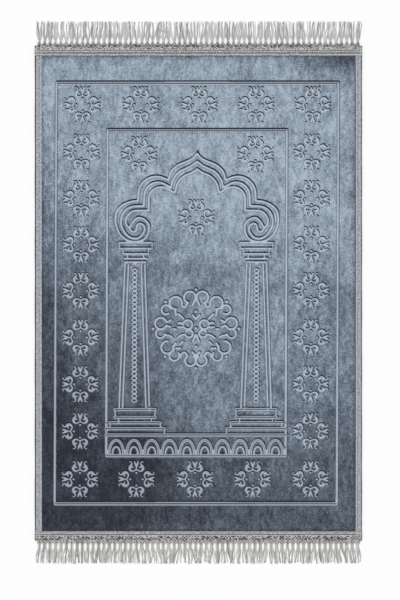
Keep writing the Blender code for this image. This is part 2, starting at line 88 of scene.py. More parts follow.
HEAD_SEAM = HEAD_LOW.y
FOOT_SEAM = FOOT_HIGH.y
HEAD_END = PANEL_HIGH.y + GAP + NOSE
FOOT_END = PANEL_LOW.y - GAP - NOSE
FOOT_TAPE_END = FOOT_END + 0.0012

# How the pattern lies on the panel
PATTERN_SHIFT = -0.0046
PATTERN_LEAN = 0.0043
MERGE = 0.0001
CLOSEST = 0.45 * MM
SHARP_ANGLE = math.radians(24)
RIM_REACH = 0.0003
SHARPEST_MITRE = 0.45
LINES_AT_ONCE = 8
# The way that the light comes from for the painted wall shade, and how far walls reach out past the rim on
# that side and on all sides
LIGHT_WAY = (0.36, 0.93)
LIGHT_SIDE_REACH = 0.0015
WALL_REACH = 0.0005

PressedLine = namedtuple("PressedLine", "rim wall spacing")
# Half width of a groove at its rim, width of its sloping wall, and the spacing of the points along it
FRAME_BAND = PressedLine(5.7, 1.9, 6.0)
FRAME_EDGE = PressedLine(3.1, 1.7, 6.0)
ARCH_LINE = PressedLine(4.1, 2.3, 2.8)
STEP_BAND = PressedLine(5.0, 1.7, 6.0)
COLUMN_BAND = PressedLine(3.6, 2.0, 5.0)
SHAFT_LINE = PressedLine(3.1, 1.6, 6.0)
TIE_LINE = PressedLine(2.3, 1.3, 4.0)
RING_LINE = PressedLine(2.5, 1.3, 2.0)
ARCADE_LINE = PressedLine(4.3, 1.6, 2.4)
ARCADE_CORE = PressedLine(3.2, 1.5, 2.4)
SCROLL_LINE = PressedLine(3.5, 1.5, 2.3)
PETAL_LINE = PressedLine(2.2, 1.3, 2.4)
DOT_LINE = PressedLine(3.3, 1.3, 1.6)
BUD_LINE = PressedLine(4.7, 1.7, 1.6)
# Half widths of floors: a wide one is darker along its middle, and a narrow one has only its middle's points
WIDE_FLOOR = 1.6
NARROW_FLOOR = 0.4
LEAST_FLOOR = 0.2
# A line's round end turns so far to both sides; rim points pressed more than this lie on another line's floor
END_TURN = math.pi / 3
FULLY_PRESSED = 0.999
TINY = 1e-9
# Steps of each stretch of a curve and of a scroll, of an arc, and of a dot
CURVE_STEPS = 3
VOLUTE_STEPS = 4
ROUND_STEPS = 24
DOT_RIM_STEPS = 10
DOT_FLOOR_STEPS = 7

# Frames: rectangles whose level sides are wider
Frame = namedtuple("Frame", "half top bottom head_rim foot_rim")
FRAMES = (Frame(344.5, 510.3, -516.2, 2.9, 3.8), Frame(219.1, 394.6, -398.7, 3.2, 4.0))
BAND_INSET = 2.1

# Flowers
HEAD_FLOWERS = (-280.8, -138.5, 3.8, 143.0, 281.9)
FOOT_FLOWERS = (-283.0, -145.0, -2.0, 139.2, 280.6)
SIDE_FLOWERS = (-283.0, 279.5)
FLOWER_ROWS = (457.6, 342.0, 228.6, 116.5, 4.2, -110.1, -224.3, -339.2, -456.3)
INNER_FLOWERS = ((-142.1, 336.4), (142.1, 336.1), (-2.0, 182.3))
DOT_FROM_MIDDLE = 15.3

# A point is (across, up). The right half of each arch line: its shoulder down to the cusp, the foil's middle
# and radius, and the scroll that it winds into from the corner under the foil
ArchLine = namedtuple("ArchLine", "shoulder foil volute")
ARCH = (
    ArchLine(
        ((0, 339.5), (4.5, 333), (10, 327.5), (22, 321), (42, 313), (51.5, 307), (58.8, 300.6),
         (64, 293.5), (67.3, 283.5), (69.3, 273.5)),
        (99.7, 239.4, 43.3),
        ((143.2, 223.5), (158, 222), (171.7, 217.8), (183.5, 211.5), (192.3, 203), (196.8, 193.4),
         (198.8, 178.7), (197.4, 165.3), (190.7, 147.2), (182.4, 136.2), (171.4, 128.4), (159.6, 124.2),
         (146.2, 123.7), (135.2, 126.6), (125.9, 132.3), (119.1, 144.3), (116.8, 157.7), (118.7, 167.2),
         (126.1, 176.3), (135.7, 181.2), (144.2, 181.9), (150.6, 177.7), (157.6, 169.2), (161.5, 161.6),
         (164.4, 156.7))),
    ArchLine(
        ((0, 319.5), (4.7, 316), (10, 312), (16.4, 307.8), (31.3, 300.7), (38.6, 297.4), (44, 293.8),
         (49.2, 289), (53.8, 283), (57.8, 276.3), (60.8, 269), (63.6, 255.5)),
        (95.5, 235.7, 32.8),
        ((129.7, 210.8), (142.2, 210.8), (157.8, 209.3), (169.5, 204.4), (178, 196.6), (183.4, 185.6),
         (185.3, 171.9), (183.2, 159.2), (174.6, 144.3), (165.3, 135.5), (152.6, 131.5), (141.3, 133.3),
         (133.8, 140.1), (127.7, 151.1), (127.7, 158.4), (130.9, 164.5), (138.8, 168), (145.3, 164.5),
         (147.7, 154.3), (150.4, 149.9), (154.7, 147.7), (160.4, 150.4), (163.9, 156.2))),
    ArchLine(
        ((0, 301), (6.8, 296), (12, 292.7), (19.5, 289.4), (26.8, 286.3), (32.2, 283.1), (37.6, 278.8),
         (42.9, 273.4), (47, 267), (49.8, 260.6), (52.4, 249), (54.6, 243)),
        (88.2, 227.4, 29.6),
        ((117.4, 199.7), (142.1, 199.7), (153.8, 198.8), (161.6, 195.1), (168.7, 188), (173.5, 177.7),
         (173, 168.2), (170, 162.1), (163.9, 156.2))),
)

# Columns: the middle of each part and the inner ends of the two steps, from the pattern's middle
Column = namedtuple("Column", "side shaft abacus plinth second_step third_step")
COLUMNS = (Column(-1, 151.0, 149.2, 149.0, 86.8, 77.0), Column(1, 146.6, 145.7, 146.4, 84.8, 74.6))
Level = namedtuple("Level", "half_width up")
Upright = namedtuple("Upright", "half_width top bottom")
CAPITAL_LEVELS = (
    Level(40.0, 121.3), Level(40.0, 107.0), Level(31.0, 94.1), Level(27.6, 82.4), Level(24.2, 73.8),
)
CAPITAL_UPRIGHTS = (Upright(40.0, 121.3, 107.0), Upright(31.0, 107.0, 94.1), Upright(19.6, 94.1, 82.4))
PLINTH_LEVELS = (Level(49.0, -286.1), Level(49.0, -305.4))
PLINTH_UPRIGHTS = (Upright(49.0, -286.1, -305.4), Upright(40.0, -305.4, -316.0))
ShaftEdge = namedtuple("ShaftEdge", "top_half foot_half")
# Each edge of the shaft is two lines: how far they lie from the shaft's middle
SHAFT_EDGES = (ShaftEdge(24.0, 37.0), ShaftEdge(15.4, 28.6))
SHAFT_TOP_UP = 73.5
SHAFT_FOOT_UP = -283.0
SECOND_STEP_UP = -318.5
SECOND_STEP_OUTER = 210.0
THIRD_STEP_UP = -333.0
FLOOR_LINE_UP = -348.5
RING_COUNT = 30
RING_TOP_UP = 52.8
RING_PITCH = 10.93
RING_ACROSS = 5.6
RING_UP = 4.5
RING_STEPS = 15
DASH_UP = 68.7
DASH_HALF = 3.0

# Small arches under the columns
SMALL_ARCHES = 10
SMALL_ARCH_PITCH = 43.2
SMALL_ARCH_FOOT_UP = -394.0
SMALL_ARCH_MEETING_UP = -386.0
SmallArch = namedtuple("SmallArch", "half_width rise line")
SMALL_ARCH_LINES = (SmallArch(17.5, 33.0, ARCADE_LINE), SmallArch(9.3, 16.6, ARCADE_CORE))

# The round ornament
ORNAMENT = (-1.0, -89.0)
CURL_OPENING = 70
Curl = namedtuple("Curl", "across up radius opens")
# Curls of its right half, from its middle; "opens" is the opening's direction in degrees
CURLS = [Curl(*row) for row in (
    (15.4, 77, 14, 250), (49.5, 63, 15, 230), (73.3, 46.5, 11, 200), (86, 13, 14, 180), (87, -12, 11, 150),
    (69.7, -45.5, 15, 130), (52.6, -66, 12, 110), (13.4, -78, 13, 90), (20.2, 9.8, 11, 0),
    (17, -12.2, 9, 0),
)]
# Strokes between the curls of its right half, and its buds
STROKES = (
    ((1, 73), (4.5, 66), (8.5, 58)), ((22, 62), (27, 52.5), (34, 56)), ((51, 46), (50, 38.5), (49, 33)),
    ((43, 35.5), (37, 31), (31, 24.5)), ((0.5, 24), (4.5, 28.5), (8.5, 33.5)),
    ((30.5, 11), (34, 12.5), (39, 15), (43, 13)), ((30.5, 4.5), (37, 3), (44, 4.5)),
    ((49.5, -1), (55.5, -1)), ((0.5, -14.5), (4, -23), (7.5, -32)), ((39, -38.5), (35.5, -35), (32, -31)),
    ((48, -47.5), (43, -48.5), (38, -47.5)), ((49.5, -35), (53, -41), (56, -47), (54, -51)),
    ((21, -65), (27.5, -57.7), (35, -62), (37, -69)), ((0.5, -65.5), (4.5, -61.5), (9, -57)),
    ((72, 16), (66, 18), (61, 21.5)), ((72, 8), (67, 5.5), (62, 5)), ((26, -14), (36, -16), (46, -23)),
    ((58, -21), (64, -17), (72, -16)),
)
BUDS = ((0, 95.5), (74.8, 66), (105, 0), (75, -68), (0, -96.5), (0, 42), (0, 1), (0, -44))

# Strokes of a palmette's right half: points of (across, out from the flower's middle, half width)
PALMETTE_LOBE = (
    (0, 24.5, 2.2), (4, 21.6, 2.3), (9.5, 19.6, 2.5), (14, 21.6, 3.2), (16.3, 26, 4), (15, 31, 3.8),
    (11.8, 35.2, 2.6), (10.8, 38.5, 2.1), (13, 41.8, 2.1), (16.8, 42.6, 1.7),
)
PALMETTE_SPUR = ((15, 30, 3.5), (9, 29.5, 2.2), (6.5, 28.2, 1.6))
PALMETTE_LEAF = ((0, 23, 1.9), (0.2, 28, 1.9), (1.2, 33, 2.6), (2.8, 38, 3), (4.6, 42.5, 2.2))

# Painted sheen: where the pile is stroked lighter or darker; and painted shadow in the pile beside the tapes
NAP_HEAD = 0.755
NAP_FOOT = 0.50
NAP_TURNS_UP = 60.0
NAP_TURNS_REACH = 75.0
PAINTED_TAPE_SHADOW = 0.18
TAPE_SHADOW_REACH = 2.4
NAP_AT_HEAD = 0.15
NAP_HEAD_REACH = 14.0
LEAST_NAP = -0.03
NapCloud = namedtuple("NapCloud", "across up reach_across reach_up turn change")
# Clouds in the pile: middle, reach, turn in degrees and change of lightness
NAP_CLOUDS = [NapCloud(*row) for row in (
    (-430, -420, 260, 380, 0, -0.5), (-330, -400, 110, 200, 0, -0.13), (-400, -40, 60, 190, 0, -0.2),
    (-370, 200, 70, 140, 0, -0.2), (0, -485, 900, 90, 0, -0.27), (0, -600, 700, 60, 0, -0.36),
    (-150, -450, 90, 60, 0, -0.14), (395, 330, 30, 230, 0, -0.14), (345, 560, 60, 22, 0, -0.4),
    (290, 545, 120, 40, 0, -0.12), (-150, 110, 150, 62, 0, -0.24), (-155, 98, 30, 16, 0, 0.18),
    (240, 70, 90, 60, 0, -0.1), (130, 20, 60, 60, 0, 0.14), (190, -70, 110, 110, 0, 0.12),
    (-15, -130, 55, 75, 0, 0.16), (-90, 0, 50, 50, 0, 0.06), (-45, 91, 60, 14, 4, 0.1),
    (-45, 58, 60, 13, -4, -0.16), (73, 46, 13, 10, 0, -0.25), (185, 14, 20, 14, 20, -0.25),
    (163, -280, 30, 70, 0, 0.1), (355, -330, 60, 60, 0, -0.14), (-130, -310, 75, 110, 0, -0.12),
    (0, -392, 500, 34, 0, -0.16), (-330, -520, 130, 70, 0, -0.14), (70, 100, 45, 26, 0, 0.15),
    (165, 38, 26, 24, 0, 0.14), (-96, 34, 34, 24, 0, -0.14), (-100, 470, 90, 50, 0, -0.05),
    (-140, -375, 60, 60, 0, -0.1), (-385, -150, 26, 160, 0, 0.12), (290, -480, 130, 60, 0, 0.06),
    (60, 290, 150, 110, 0, 0.05), (-155, 120, 40, 60, 0, 0.09), (-350, -500, 45, 60, 0, -0.1),
    (215, -476, 45, 28, 0, -0.12), (-155, -385, 30, 50, 0, -0.1), (-40, -580, 340, 20, 0, 0.17),
    (290, 150, 40, 60, 0, 0.07), (175, 280, 50, 60, 0, 0.06), (-28, -90, 60, 100, 0, 0.06),
    (-155, -20, 40, 90, 0, 0.08), (70, 400, 70, 60, 0, 0.07),
)]

# Side tapes, and the row of stitches along each
SIDE_TOP_POINTS = 19
EDGE_WANDER = 0.0003
MOST_OUTWARD = 0.0002
SEAM_IN = 0.0134
SEAM_HEIGHT = 0.0047
SEAM_SLANT = 0.0016
THREAD_RADIUS = 0.00052
# A stitch: the half of its pitch that it covers, its bow's height and its stations
STITCH_HALF = 0.42
BOW_HEIGHT = 0.00035
STITCH_STATIONS = 6

# End tapes: stations over the top, its drop at the seam, and how its corners are drawn in
TOP_STATIONS = 34
SEAM_DROP = 0.0004
CORNER_DRAWN = 0.0095
CORNER_ACROSS = 0.011
CORNER_DEEP = 0.014
Ridge = namedtuple("Ridge", "place reach rise dust")
# Ridges of the end tapes: distance from the rug's end, half width and height in millimetres, and darkening
HEAD_RIDGES = (
    Ridge(5.0, 4.5, -0.8, 0.50), Ridge(16.9, 1.2, -0.7, 0.70), Ridge(19.4, 1.1, 0.5, 0.0),
    # The last head ridge's darkening is painted shadow where the tape meets the pile
    Ridge(22.8, 1.8, -0.7, 0.75), Ridge(26.8, 1.6, 0.2, 0.08), Ridge(30.2, 1.4, -0.3, 0.9),
)
FOOT_RIDGES = (
    Ridge(6.5, 5.5, -0.8, 0.62), Ridge(16.9, 1.2, -0.9, 0.80), Ridge(19.4, 1.1, 0.4, 0.06),
    Ridge(22.2, 1.4, -0.3, 0.38), Ridge(25.0, 1.6, -0.1, 0.30),
)
BraidRow = namedtuple("BraidRow", "place slant head_dust foot_dust")
# Rows of slanting stitches over the braided part: distance from the end, slant, and dust of every second one
BRAID_ROWS = (
    BraidRow(2.2, 0.9, 0.86, 0.95), BraidRow(5.6, -0.9, 0.84, 0.84), BraidRow(9.0, 0.9, 0.64, 0.92),
    BraidRow(12.4, -0.9, 0.78, 0.98),
)
BRAID_HEIGHT = END_TAPE_TOP - 0.0005
BRAID_PITCH = 0.0037
BRAID_RADIUS = 0.0013
BRAID_SLIPS = 0.21
BRAID_REACH = BODY_HALF - 0.006

# Fringes
YARN_SIDES = 5
YARN_STATIONS = 15
STRAND_YARNS = 3
Tassel = namedtuple("Tassel", "neck neck_half fan_half root_length root_dust dust")
# A tassel: length and half width of its neck, half width of its fan, length of its widened root, and how
# dark the root and its darkened strands are
HEAD_TASSEL = Tassel(0.004, 0.0015, 0.0056, 0.0085, 0.50, 0.46)
FOOT_TASSEL = Tassel(0.011, 0.0029, 0.0062, 0.0045, 0.26, 0.52)
FRINGE_MARGIN = 0.0045
ROOT_UNDER_TAPE = -0.0045
ROOT_FLARE = 0.002
ROOT_OVER_TAPE = 0.0003
ROOT_DOWN_TO = 0.007
OPENING_LENGTH = 0.020
LONGEST_PAST = 0.0016
LOWEST_LAYER = 0.7
HIGHEST_LAYER = 3.1
SWAY = 0.0012
# How tassels lean: a wave along the rug's end, more at its corners, and by chance
LEAN_WAVE = 0.0015
LEAN_AT_CORNERS = 0.0022
LEAN_SPREAD = 0.0026
# Spread of how necks, strands and yarns differ, and the share of dusty strands
NECK_SPREAD = 0.0012
STRAND_SHORTNESS = 0.0027
STRAND_DRIFT = 0.0028
YARN_SHORTNESS = 0.0012
YARN_DRIFT = 0.0006
DUSTY_STRANDS = 0.42
MIDDLE_DARKENING = 0.15

# Stage
FLOOR_HALF = 12.0
SUN_SPREAD = math.radians(16)
SUN_TURN = math.radians(3)
LENS = 100.0
SENSOR_WIDTH = 36.0
EYE_OVER = (0.0038, -0.0188)

# Colours as they look in daylight, in 8-bit values
# The nap colours are painted sheen: the same pile, from stroked away from the light to stroked towards it
DARK_NAP = (29, 30, 41)
MIDDLE_NAP = (105, 117, 130)
LIGHT_NAP = (166, 180, 195)
DARK_FLOOR = (153, 162, 176)
LIGHT_FLOOR = (175, 188, 203)
# Painted shade on walls of the pressed lines that face away from the light; it also darkens the middle of
# wide floors
WALL_SHADE = (22, 27, 36)
TAPE_GREY = (170, 174, 182)
END_TAPE_GREY = (186, 185, 186)
SHADE_AND_DARKENING_GREY = (52, 52, 57)
HEAD_YARN_GREY = (218, 217, 214)
FOOT_YARN_GREY = (219, 218, 215)
THREAD_GREY = (208, 208, 210)
FLOOR_WHITE = (243, 243, 243)


def linear(colour):
    """Linear values of an 8-bit colour: each is raised to 2.4 after its small offset, as displays do."""
    share = np.array(colour) / 255
    return tuple(float(v) for v in np.where(share > 0.04045, ((share + 0.055) / 1.055) ** 2.4, share / 12.92))


# ---- paths


def arc(across, up, radius, start, end, steps=ROUND_STEPS, radius_up=None):
    """Points of an arc or ellipse: the middle plus the radii times the angle's cosine and sine."""
    angle = np.linspace(start, end, steps + 1)
    high = radius if radius_up is None else radius_up
    return np.column_stack([across + radius * np.cos(angle), up + high * np.sin(angle)])


def through(keys, steps=CURVE_STEPS):
    """A smooth cubic curve through the keys: each stretch blends its two ends and their slopes."""
    keys = np.asarray(keys, float)
    keys = np.vstack([keys[:1], keys, keys[-1:]])
    a, b, c, d = (keys[i : len(keys) - 3 + i][:, None, :] for i in range(4))
    t = (np.arange(steps) / steps)[None, :, None]
    bend = (2 * a - 5 * b + 4 * c - d) * t**2 + (3 * b - a - 3 * c + d) * t**3
    curve = b + 0.5 * ((c - a) * t + bend)
    return np.vstack([curve.reshape(-1, keys.shape[1]), keys[-1:]])


def mirrored(path):
    """The same path on the other side of the middle line."""
    return np.column_stack([-path[:, 0], path[:, 1:]])


def stations(path, spacing):
    """The path with points added so that none lie further apart than the spacing; its corners stay."""
    length = np.linalg.norm(np.diff(path[:, :2], axis=0), axis=1)
    counts = np.maximum(1, np.ceil(length / spacing).astype(int))
    stretch = np.repeat(np.arange(len(counts)), counts)
    first = np.repeat(np.cumsum(counts) - counts, counts)
    share = (np.arange(counts.sum()) - first) / counts[stretch]
    points = path[stretch] + share[:, None] * (path[stretch + 1] - path[stretch])
    return np.vstack([points, path[-1:]])


def beside(path, offset, closed):
    """The path moved sideways by the offset: each point goes along its mitre."""
    step = np.roll(path, -1, axis=0) - path
    if not closed:
        step[-1] = step[-2]
    step /= np.linalg.norm(step, axis=1)[:, None]
    before = np.roll(step, 1, axis=0)
    if not closed:
        before[0] = step[0]
    normal = np.column_stack([-(step + before)[:, 1], (step + before)[:, 0]])
    normal /= np.maximum(np.linalg.norm(normal, axis=1), TINY)[:, None]
    turn = np.maximum(normal[:, 1] * step[:, 0] - normal[:, 0] * step[:, 1], SHARPEST_MITRE)
    return path + normal * (offset / turn)[:, None]


def wall_reach(facing):
    """How far a wall reaches out past its rim: a fixed reach, and more the more it faces the light."""
    return WALL_REACH + LIGHT_SIDE_REACH * np.maximum(facing, 0)


def reached(middle, rim):
    """Rim points moved out from their line's middle by the wall's reach."""
    way = rim - middle
    way /= np.maximum(np.linalg.norm(way, axis=1), TINY)[:, None]
    return rim + way * wall_reach(way @ LIGHT_WAY)[:, None]


class Pattern:
    """Lines pressed into the pile, the points that the cloth's mesh needs along them, and their depth."""

    def __init__(self):
        self.lines = []
        self.rims = []
        self.floors = []

    def laid(self, path):
        """The path of the pattern in millimetres, on the panel in metres: shifted, and leaning a little."""
        across, up = path[:, 0] * MM, path[:, 1] * MM
        return np.column_stack([across + PATTERN_SHIFT + PATTERN_LEAN * up, up, path[:, 2:] * MM])

    def press(self, path, line, closed=False):
        """A groove along a path: points at both rims and along its floor; a third column is half widths."""
        path = np.asarray(path, float)
        if path.shape[1] == 2:
            path = np.column_stack([path, np.full(len(path), line.rim)])
        if closed:
            path = np.vstack([path, path[:1]])
        path = self.laid(stations(path, line.spacing))
        body = path[:-1] if closed else path
        floor = body[:, 2] - line.wall * MM
        for side in (-1, 1):
            self.rims.append(reached(body[:, :2], beside(body[:, :2], side * body[:, 2], closed)))
            if floor.max() > NARROW_FLOOR * MM:
                self.floors.append(beside(body[:, :2], side * np.maximum(floor, LEAST_FLOOR * MM), closed))
        if floor.max() <= NARROW_FLOOR * MM or floor.min() > WIDE_FLOOR * MM:
            self.floors.append(body[:, :2])
        if not closed:
            for end, before in ((path[0], path[1]), (path[-1], path[-2])):
                way = math.atan2(*(end - before)[1::-1])
                bow = (way - END_TURN, way + END_TURN, 2)
                self.rims.append(reached(end[:2], arc(*end[:2], end[2], *bow)))
                self.floors.append(arc(*end[:2], max(end[2] - line.wall * MM, LEAST_FLOOR * MM), *bow))
        self.lines.append((path[:-1], path[1:], line))

    def dot(self, across, up, line=DOT_LINE):
        """A round hollow."""
        middle = self.laid(np.array([[across, up, line.rim]]))
        rim = arc(*middle[0, :2], line.rim * MM, 0, 2 * math.pi, DOT_RIM_STEPS)[:-1]
        self.rims.append(reached(middle[:, :2], rim))
        floor = arc(*middle[0, :2], (line.rim - line.wall) * MM, 0, 2 * math.pi, DOT_FLOOR_STEPS)[:-1]
        self.floors.append(floor)
        self.lines.append((middle, middle, line))

    def points(self):
        """All floor points, and the rim points that lie on no other line's floor."""
        rims = np.concatenate(self.rims)
        return np.concatenate([rims[self.pressed(rims)[0] < FULLY_PRESSED], *self.floors])

    def pressed(self, points):
        """How far each point is pressed, how its wall turns from the light, and how near it is to a middle.

        Pressing is a smooth step of the depth inside the rim over the wall's width. The turn is the unit
        way from the line to the point, times the light's way; walls on that side reach further out. Middle
        is 1 on the middle of wide lines.
        """
        order = np.argsort(points[:, 1])
        ranked = points[order]
        share, turned, middle = np.zeros((3, len(points)))
        inside = np.full(len(points), -RIM_REACH)
        for start, end, line in self.lines:
            wall = line.wall * MM
            for first in range(0, len(start), LINES_AT_ONCE):
                a, b = start[first : first + LINES_AT_ONCE], end[first : first + LINES_AT_ONCE]
                reach = max(a[:, 2].max(), b[:, 2].max()) + WALL_REACH + LIGHT_SIDE_REACH + RIM_REACH
                low = np.minimum(a, b).min(axis=0) - reach
                high = np.maximum(a, b).max(axis=0) + reach
                i, j = np.searchsorted(ranked[:, 1], (low[1], high[1]))
                near = i + np.flatnonzero((ranked[i:j, 0] > low[0]) & (ranked[i:j, 0] < high[0]))
                if not len(near):
                    continue
                way = (b - a)[:, :2]
                square = np.maximum((way**2).sum(axis=1), TINY**2)
                away = ranked[near][:, None, :] - a[:, :2]
                along = np.clip((away * way).sum(axis=2) / square, 0, 1)
                rest = away - way * along[..., None]
                distance = np.linalg.norm(rest, axis=2)
                rim = a[:, 2] + along * (b - a)[:, 2]
                best = (np.arange(len(near)), (rim - distance).argmax(axis=1))
                rest, distance, rim = rest[best], distance[best], rim[best]
                facing = (rest @ LIGHT_WAY) / np.maximum(distance, TINY)
                wider = wall_reach(facing)
                depth = rim + wider - distance
                share[near] = np.maximum(share[near], smooth_step(depth, 0, wall + wider))
                floor = np.maximum(rim - wall, TINY)
                broad = np.clip((floor / MM - WIDE_FLOOR) / WIDE_FLOOR, 0, 1)
                wide = np.clip(1 - distance / floor, 0, 1) * broad
                middle[near] = np.maximum(middle[near], wide)
                closer = depth > inside[near]
                rows = near[closer]
                inside[rows] = depth[closer]
                turned[rows] = facing[closer]
        back = np.empty((3, len(points)))
        back[:, order] = share, turned, middle
        return back


def half_arch(line):
    """The right half of an arch line: shoulder, tangent and circle of the foil, and scroll.

    The tangent touches the circle at the cusp's direction less the angle whose cosine is radius over
    distance.
    """
    shoulder = through(line.shoulder)
    *middle, radius = line.foil
    away = shoulder[-1] - middle
    touch = math.atan2(away[1], away[0]) - math.acos(radius / math.hypot(*away))
    return np.vstack([shoulder, arc(*line.foil, touch, 0), through(line.volute, VOLUTE_STEPS)])


def press_frames(pattern):
    """The two rectangular frames."""
    for half, top, bottom, head_rim, foot_rim in FRAMES:
        pattern.press([(-half, bottom, foot_rim), (half, bottom, foot_rim), (half, top, head_rim),
                       (-half, top, head_rim)], FRAME_EDGE, closed=True)
        for up in (top, bottom):
            pattern.press([(BAND_INSET - half, up), (half - BAND_INSET, up)], FRAME_BAND)


def press_arch(pattern):
    """The three lines of the arch, each whole from scroll to scroll."""
    for line in ARCH:
        right = half_arch(line)
        pattern.press(np.vstack([mirrored(right)[::-1], right[1:]]), ARCH_LINE)


def press_levels(pattern, middle, levels, uprights, line):
    """Level lines about a middle, and pairs of upright lines."""
    for level in levels:
        pattern.press([(middle - level.half_width, level.up), (middle + level.half_width, level.up)], line)
    for upright in uprights:
        for across in (middle - upright.half_width, middle + upright.half_width):
            pattern.press([(across, upright.top), (across, upright.bottom)], TIE_LINE)


def press_columns(pattern):
    """Both columns: capital, tapering shaft, chain of rings, plinth and the steps under it."""
    edge = FRAMES[1].half
    for column in COLUMNS:
        side, middle = column.side, column.side * column.shaft
        press_levels(pattern, side * column.abacus, CAPITAL_LEVELS, CAPITAL_UPRIGHTS, COLUMN_BAND)
        press_levels(pattern, side * column.plinth, PLINTH_LEVELS, PLINTH_UPRIGHTS, STEP_BAND)
        for line in SHAFT_EDGES:
            for way in (-1, 1):
                top = (middle + way * line.top_half, SHAFT_TOP_UP)
                pattern.press([top, (middle + way * line.foot_half, SHAFT_FOOT_UP)], SHAFT_LINE)
        pattern.press([(middle - DASH_HALF, DASH_UP), (middle + DASH_HALF, DASH_UP)], RING_LINE)
        for ring in range(RING_COUNT):
            up = RING_TOP_UP - ring * RING_PITCH
            oval = arc(middle, up, RING_ACROSS, 0, 2 * math.pi, RING_STEPS, RING_UP)[:-1]
            pattern.press(oval, RING_LINE, closed=True)
        outer = side * SECOND_STEP_OUTER
        for start, inner, up, foot in (
            (outer, side * column.second_step, SECOND_STEP_UP, THIRD_STEP_UP),
            (side * edge, side * column.third_step, THIRD_STEP_UP, FLOOR_LINE_UP),
        ):
            pattern.press([(start, up), (inner, up)], STEP_BAND)
            pattern.press([(inner, up), (inner, foot)], TIE_LINE)
        pattern.press([(outer, SECOND_STEP_UP), (outer, THIRD_STEP_UP)], TIE_LINE)
    pattern.press([(-edge, FLOOR_LINE_UP), (edge, FLOOR_LINE_UP)], STEP_BAND)


def press_small_arches(pattern):
    """The row of small double arches: half ellipses on the inner frame's lower line."""
    for number in range(SMALL_ARCHES):
        middle = (number - (SMALL_ARCHES - 1) / 2) * SMALL_ARCH_PITCH
        for small in SMALL_ARCH_LINES:
            path = arc(middle, SMALL_ARCH_FOOT_UP, small.half_width, math.pi, 0, radius_up=small.rise)
            pattern.press(path, small.line)
    for number in range(SMALL_ARCHES + 1):
        across = (number - SMALL_ARCHES / 2) * SMALL_ARCH_PITCH
        pattern.press([(across, SMALL_ARCH_MEETING_UP), (across, SMALL_ARCH_FOOT_UP)], TIE_LINE)


def press_ornament(pattern):
    """The round ornament's curls, strokes and buds."""
    for side in (-1, 1):
        for curl in CURLS:
            start = math.radians(curl.opens + CURL_OPENING / 2)
            end = math.radians(curl.opens + 360 - CURL_OPENING / 2)
            path = arc(curl.across, curl.up, curl.radius, start, end)
            pattern.press(path * (side, 1) + ORNAMENT, SCROLL_LINE)
        for stroke in STROKES:
            pattern.press(through(stroke) * (side, 1) + ORNAMENT, SCROLL_LINE)
        for across, up in BUDS:
            if across or side > 0:
                pattern.dot(side * across + ORNAMENT[0], up + ORNAMENT[1], BUD_LINE)


def flower_places():
    """Middles of the border's flowers, of the two beside the arch and of the one under it."""
    border = [(across, up) for up in FLOWER_ROWS[1:-1] for across in SIDE_FLOWERS]
    border += [(across, FLOWER_ROWS[0]) for across in HEAD_FLOWERS]
    border += [(across, FLOWER_ROWS[-1]) for across in FOOT_FLOWERS]
    return np.array(border + list(INNER_FLOWERS))


def press_flowers(pattern):
    """Each flower: four palmettes turned by quarters, and a dot inside each."""
    lobe = through(PALMETTE_LOBE)
    strokes = [np.vstack([mirrored(lobe)[::-1], lobe[1:]])]
    for keys in (PALMETTE_SPUR, PALMETTE_LEAF):
        half = through(keys)
        strokes += [half, mirrored(half)]
    for place in flower_places():
        for sine, cosine in ((0, 1), (1, 0), (0, -1), (-1, 0)):
            turn = np.array([[cosine, sine], [-sine, cosine]])
            for stroke in strokes:
                turned = stroke[:, :2] @ turn + place
                pattern.press(np.column_stack([turned, stroke[:, 2]]), PETAL_LINE)
            pattern.dot(*(np.array([0, DOT_FROM_MIDDLE]) @ turn + place))


def pressed_pattern():
    """The whole pattern."""
    pattern = Pattern()
    press_frames(pattern)
    press_arch(pattern)
    press_columns(pattern)
    press_small_arches(pattern)
    press_ornament(pattern)
    press_flowers(pattern)
    return pattern


# ---- meshes


def mesh_piece(name, points, face_groups, finish, corner_uv=None):
    """A mesh object from whole arrays: points, and face groups of one corner count each."""
    corners = np.concatenate([group.ravel() for group in face_groups]).astype(np.int32)
    sizes = np.concatenate([np.full(len(group), group.shape[1]) for group in face_groups])
    mesh = bpy.data.meshes.new(name)
    mesh.vertices.add(len(points))
    mesh.vertices.foreach_set("co", np.asarray(points, np.float32).ravel())
    mesh.loops.add(len(corners))
    mesh.loops.foreach_set("vertex_index", corners)
    mesh.polygons.add(len(sizes))
    mesh.polygons.foreach_set("loop_start", (np.cumsum(sizes) - sizes).astype(np.int32))
    if corner_uv is not None:
        layer = mesh.uv_layers.new(name="UVMap")
        layer.data.foreach_set("uv", np.asarray(corner_uv, np.float32).ravel())
    mesh.update(calc_edges=True)
    mesh.validate()
    mesh.materials.append(finish)
    piece = bpy.data.objects.new(name, mesh)
    bpy.context.scene.collection.objects.link(piece)
    return piece


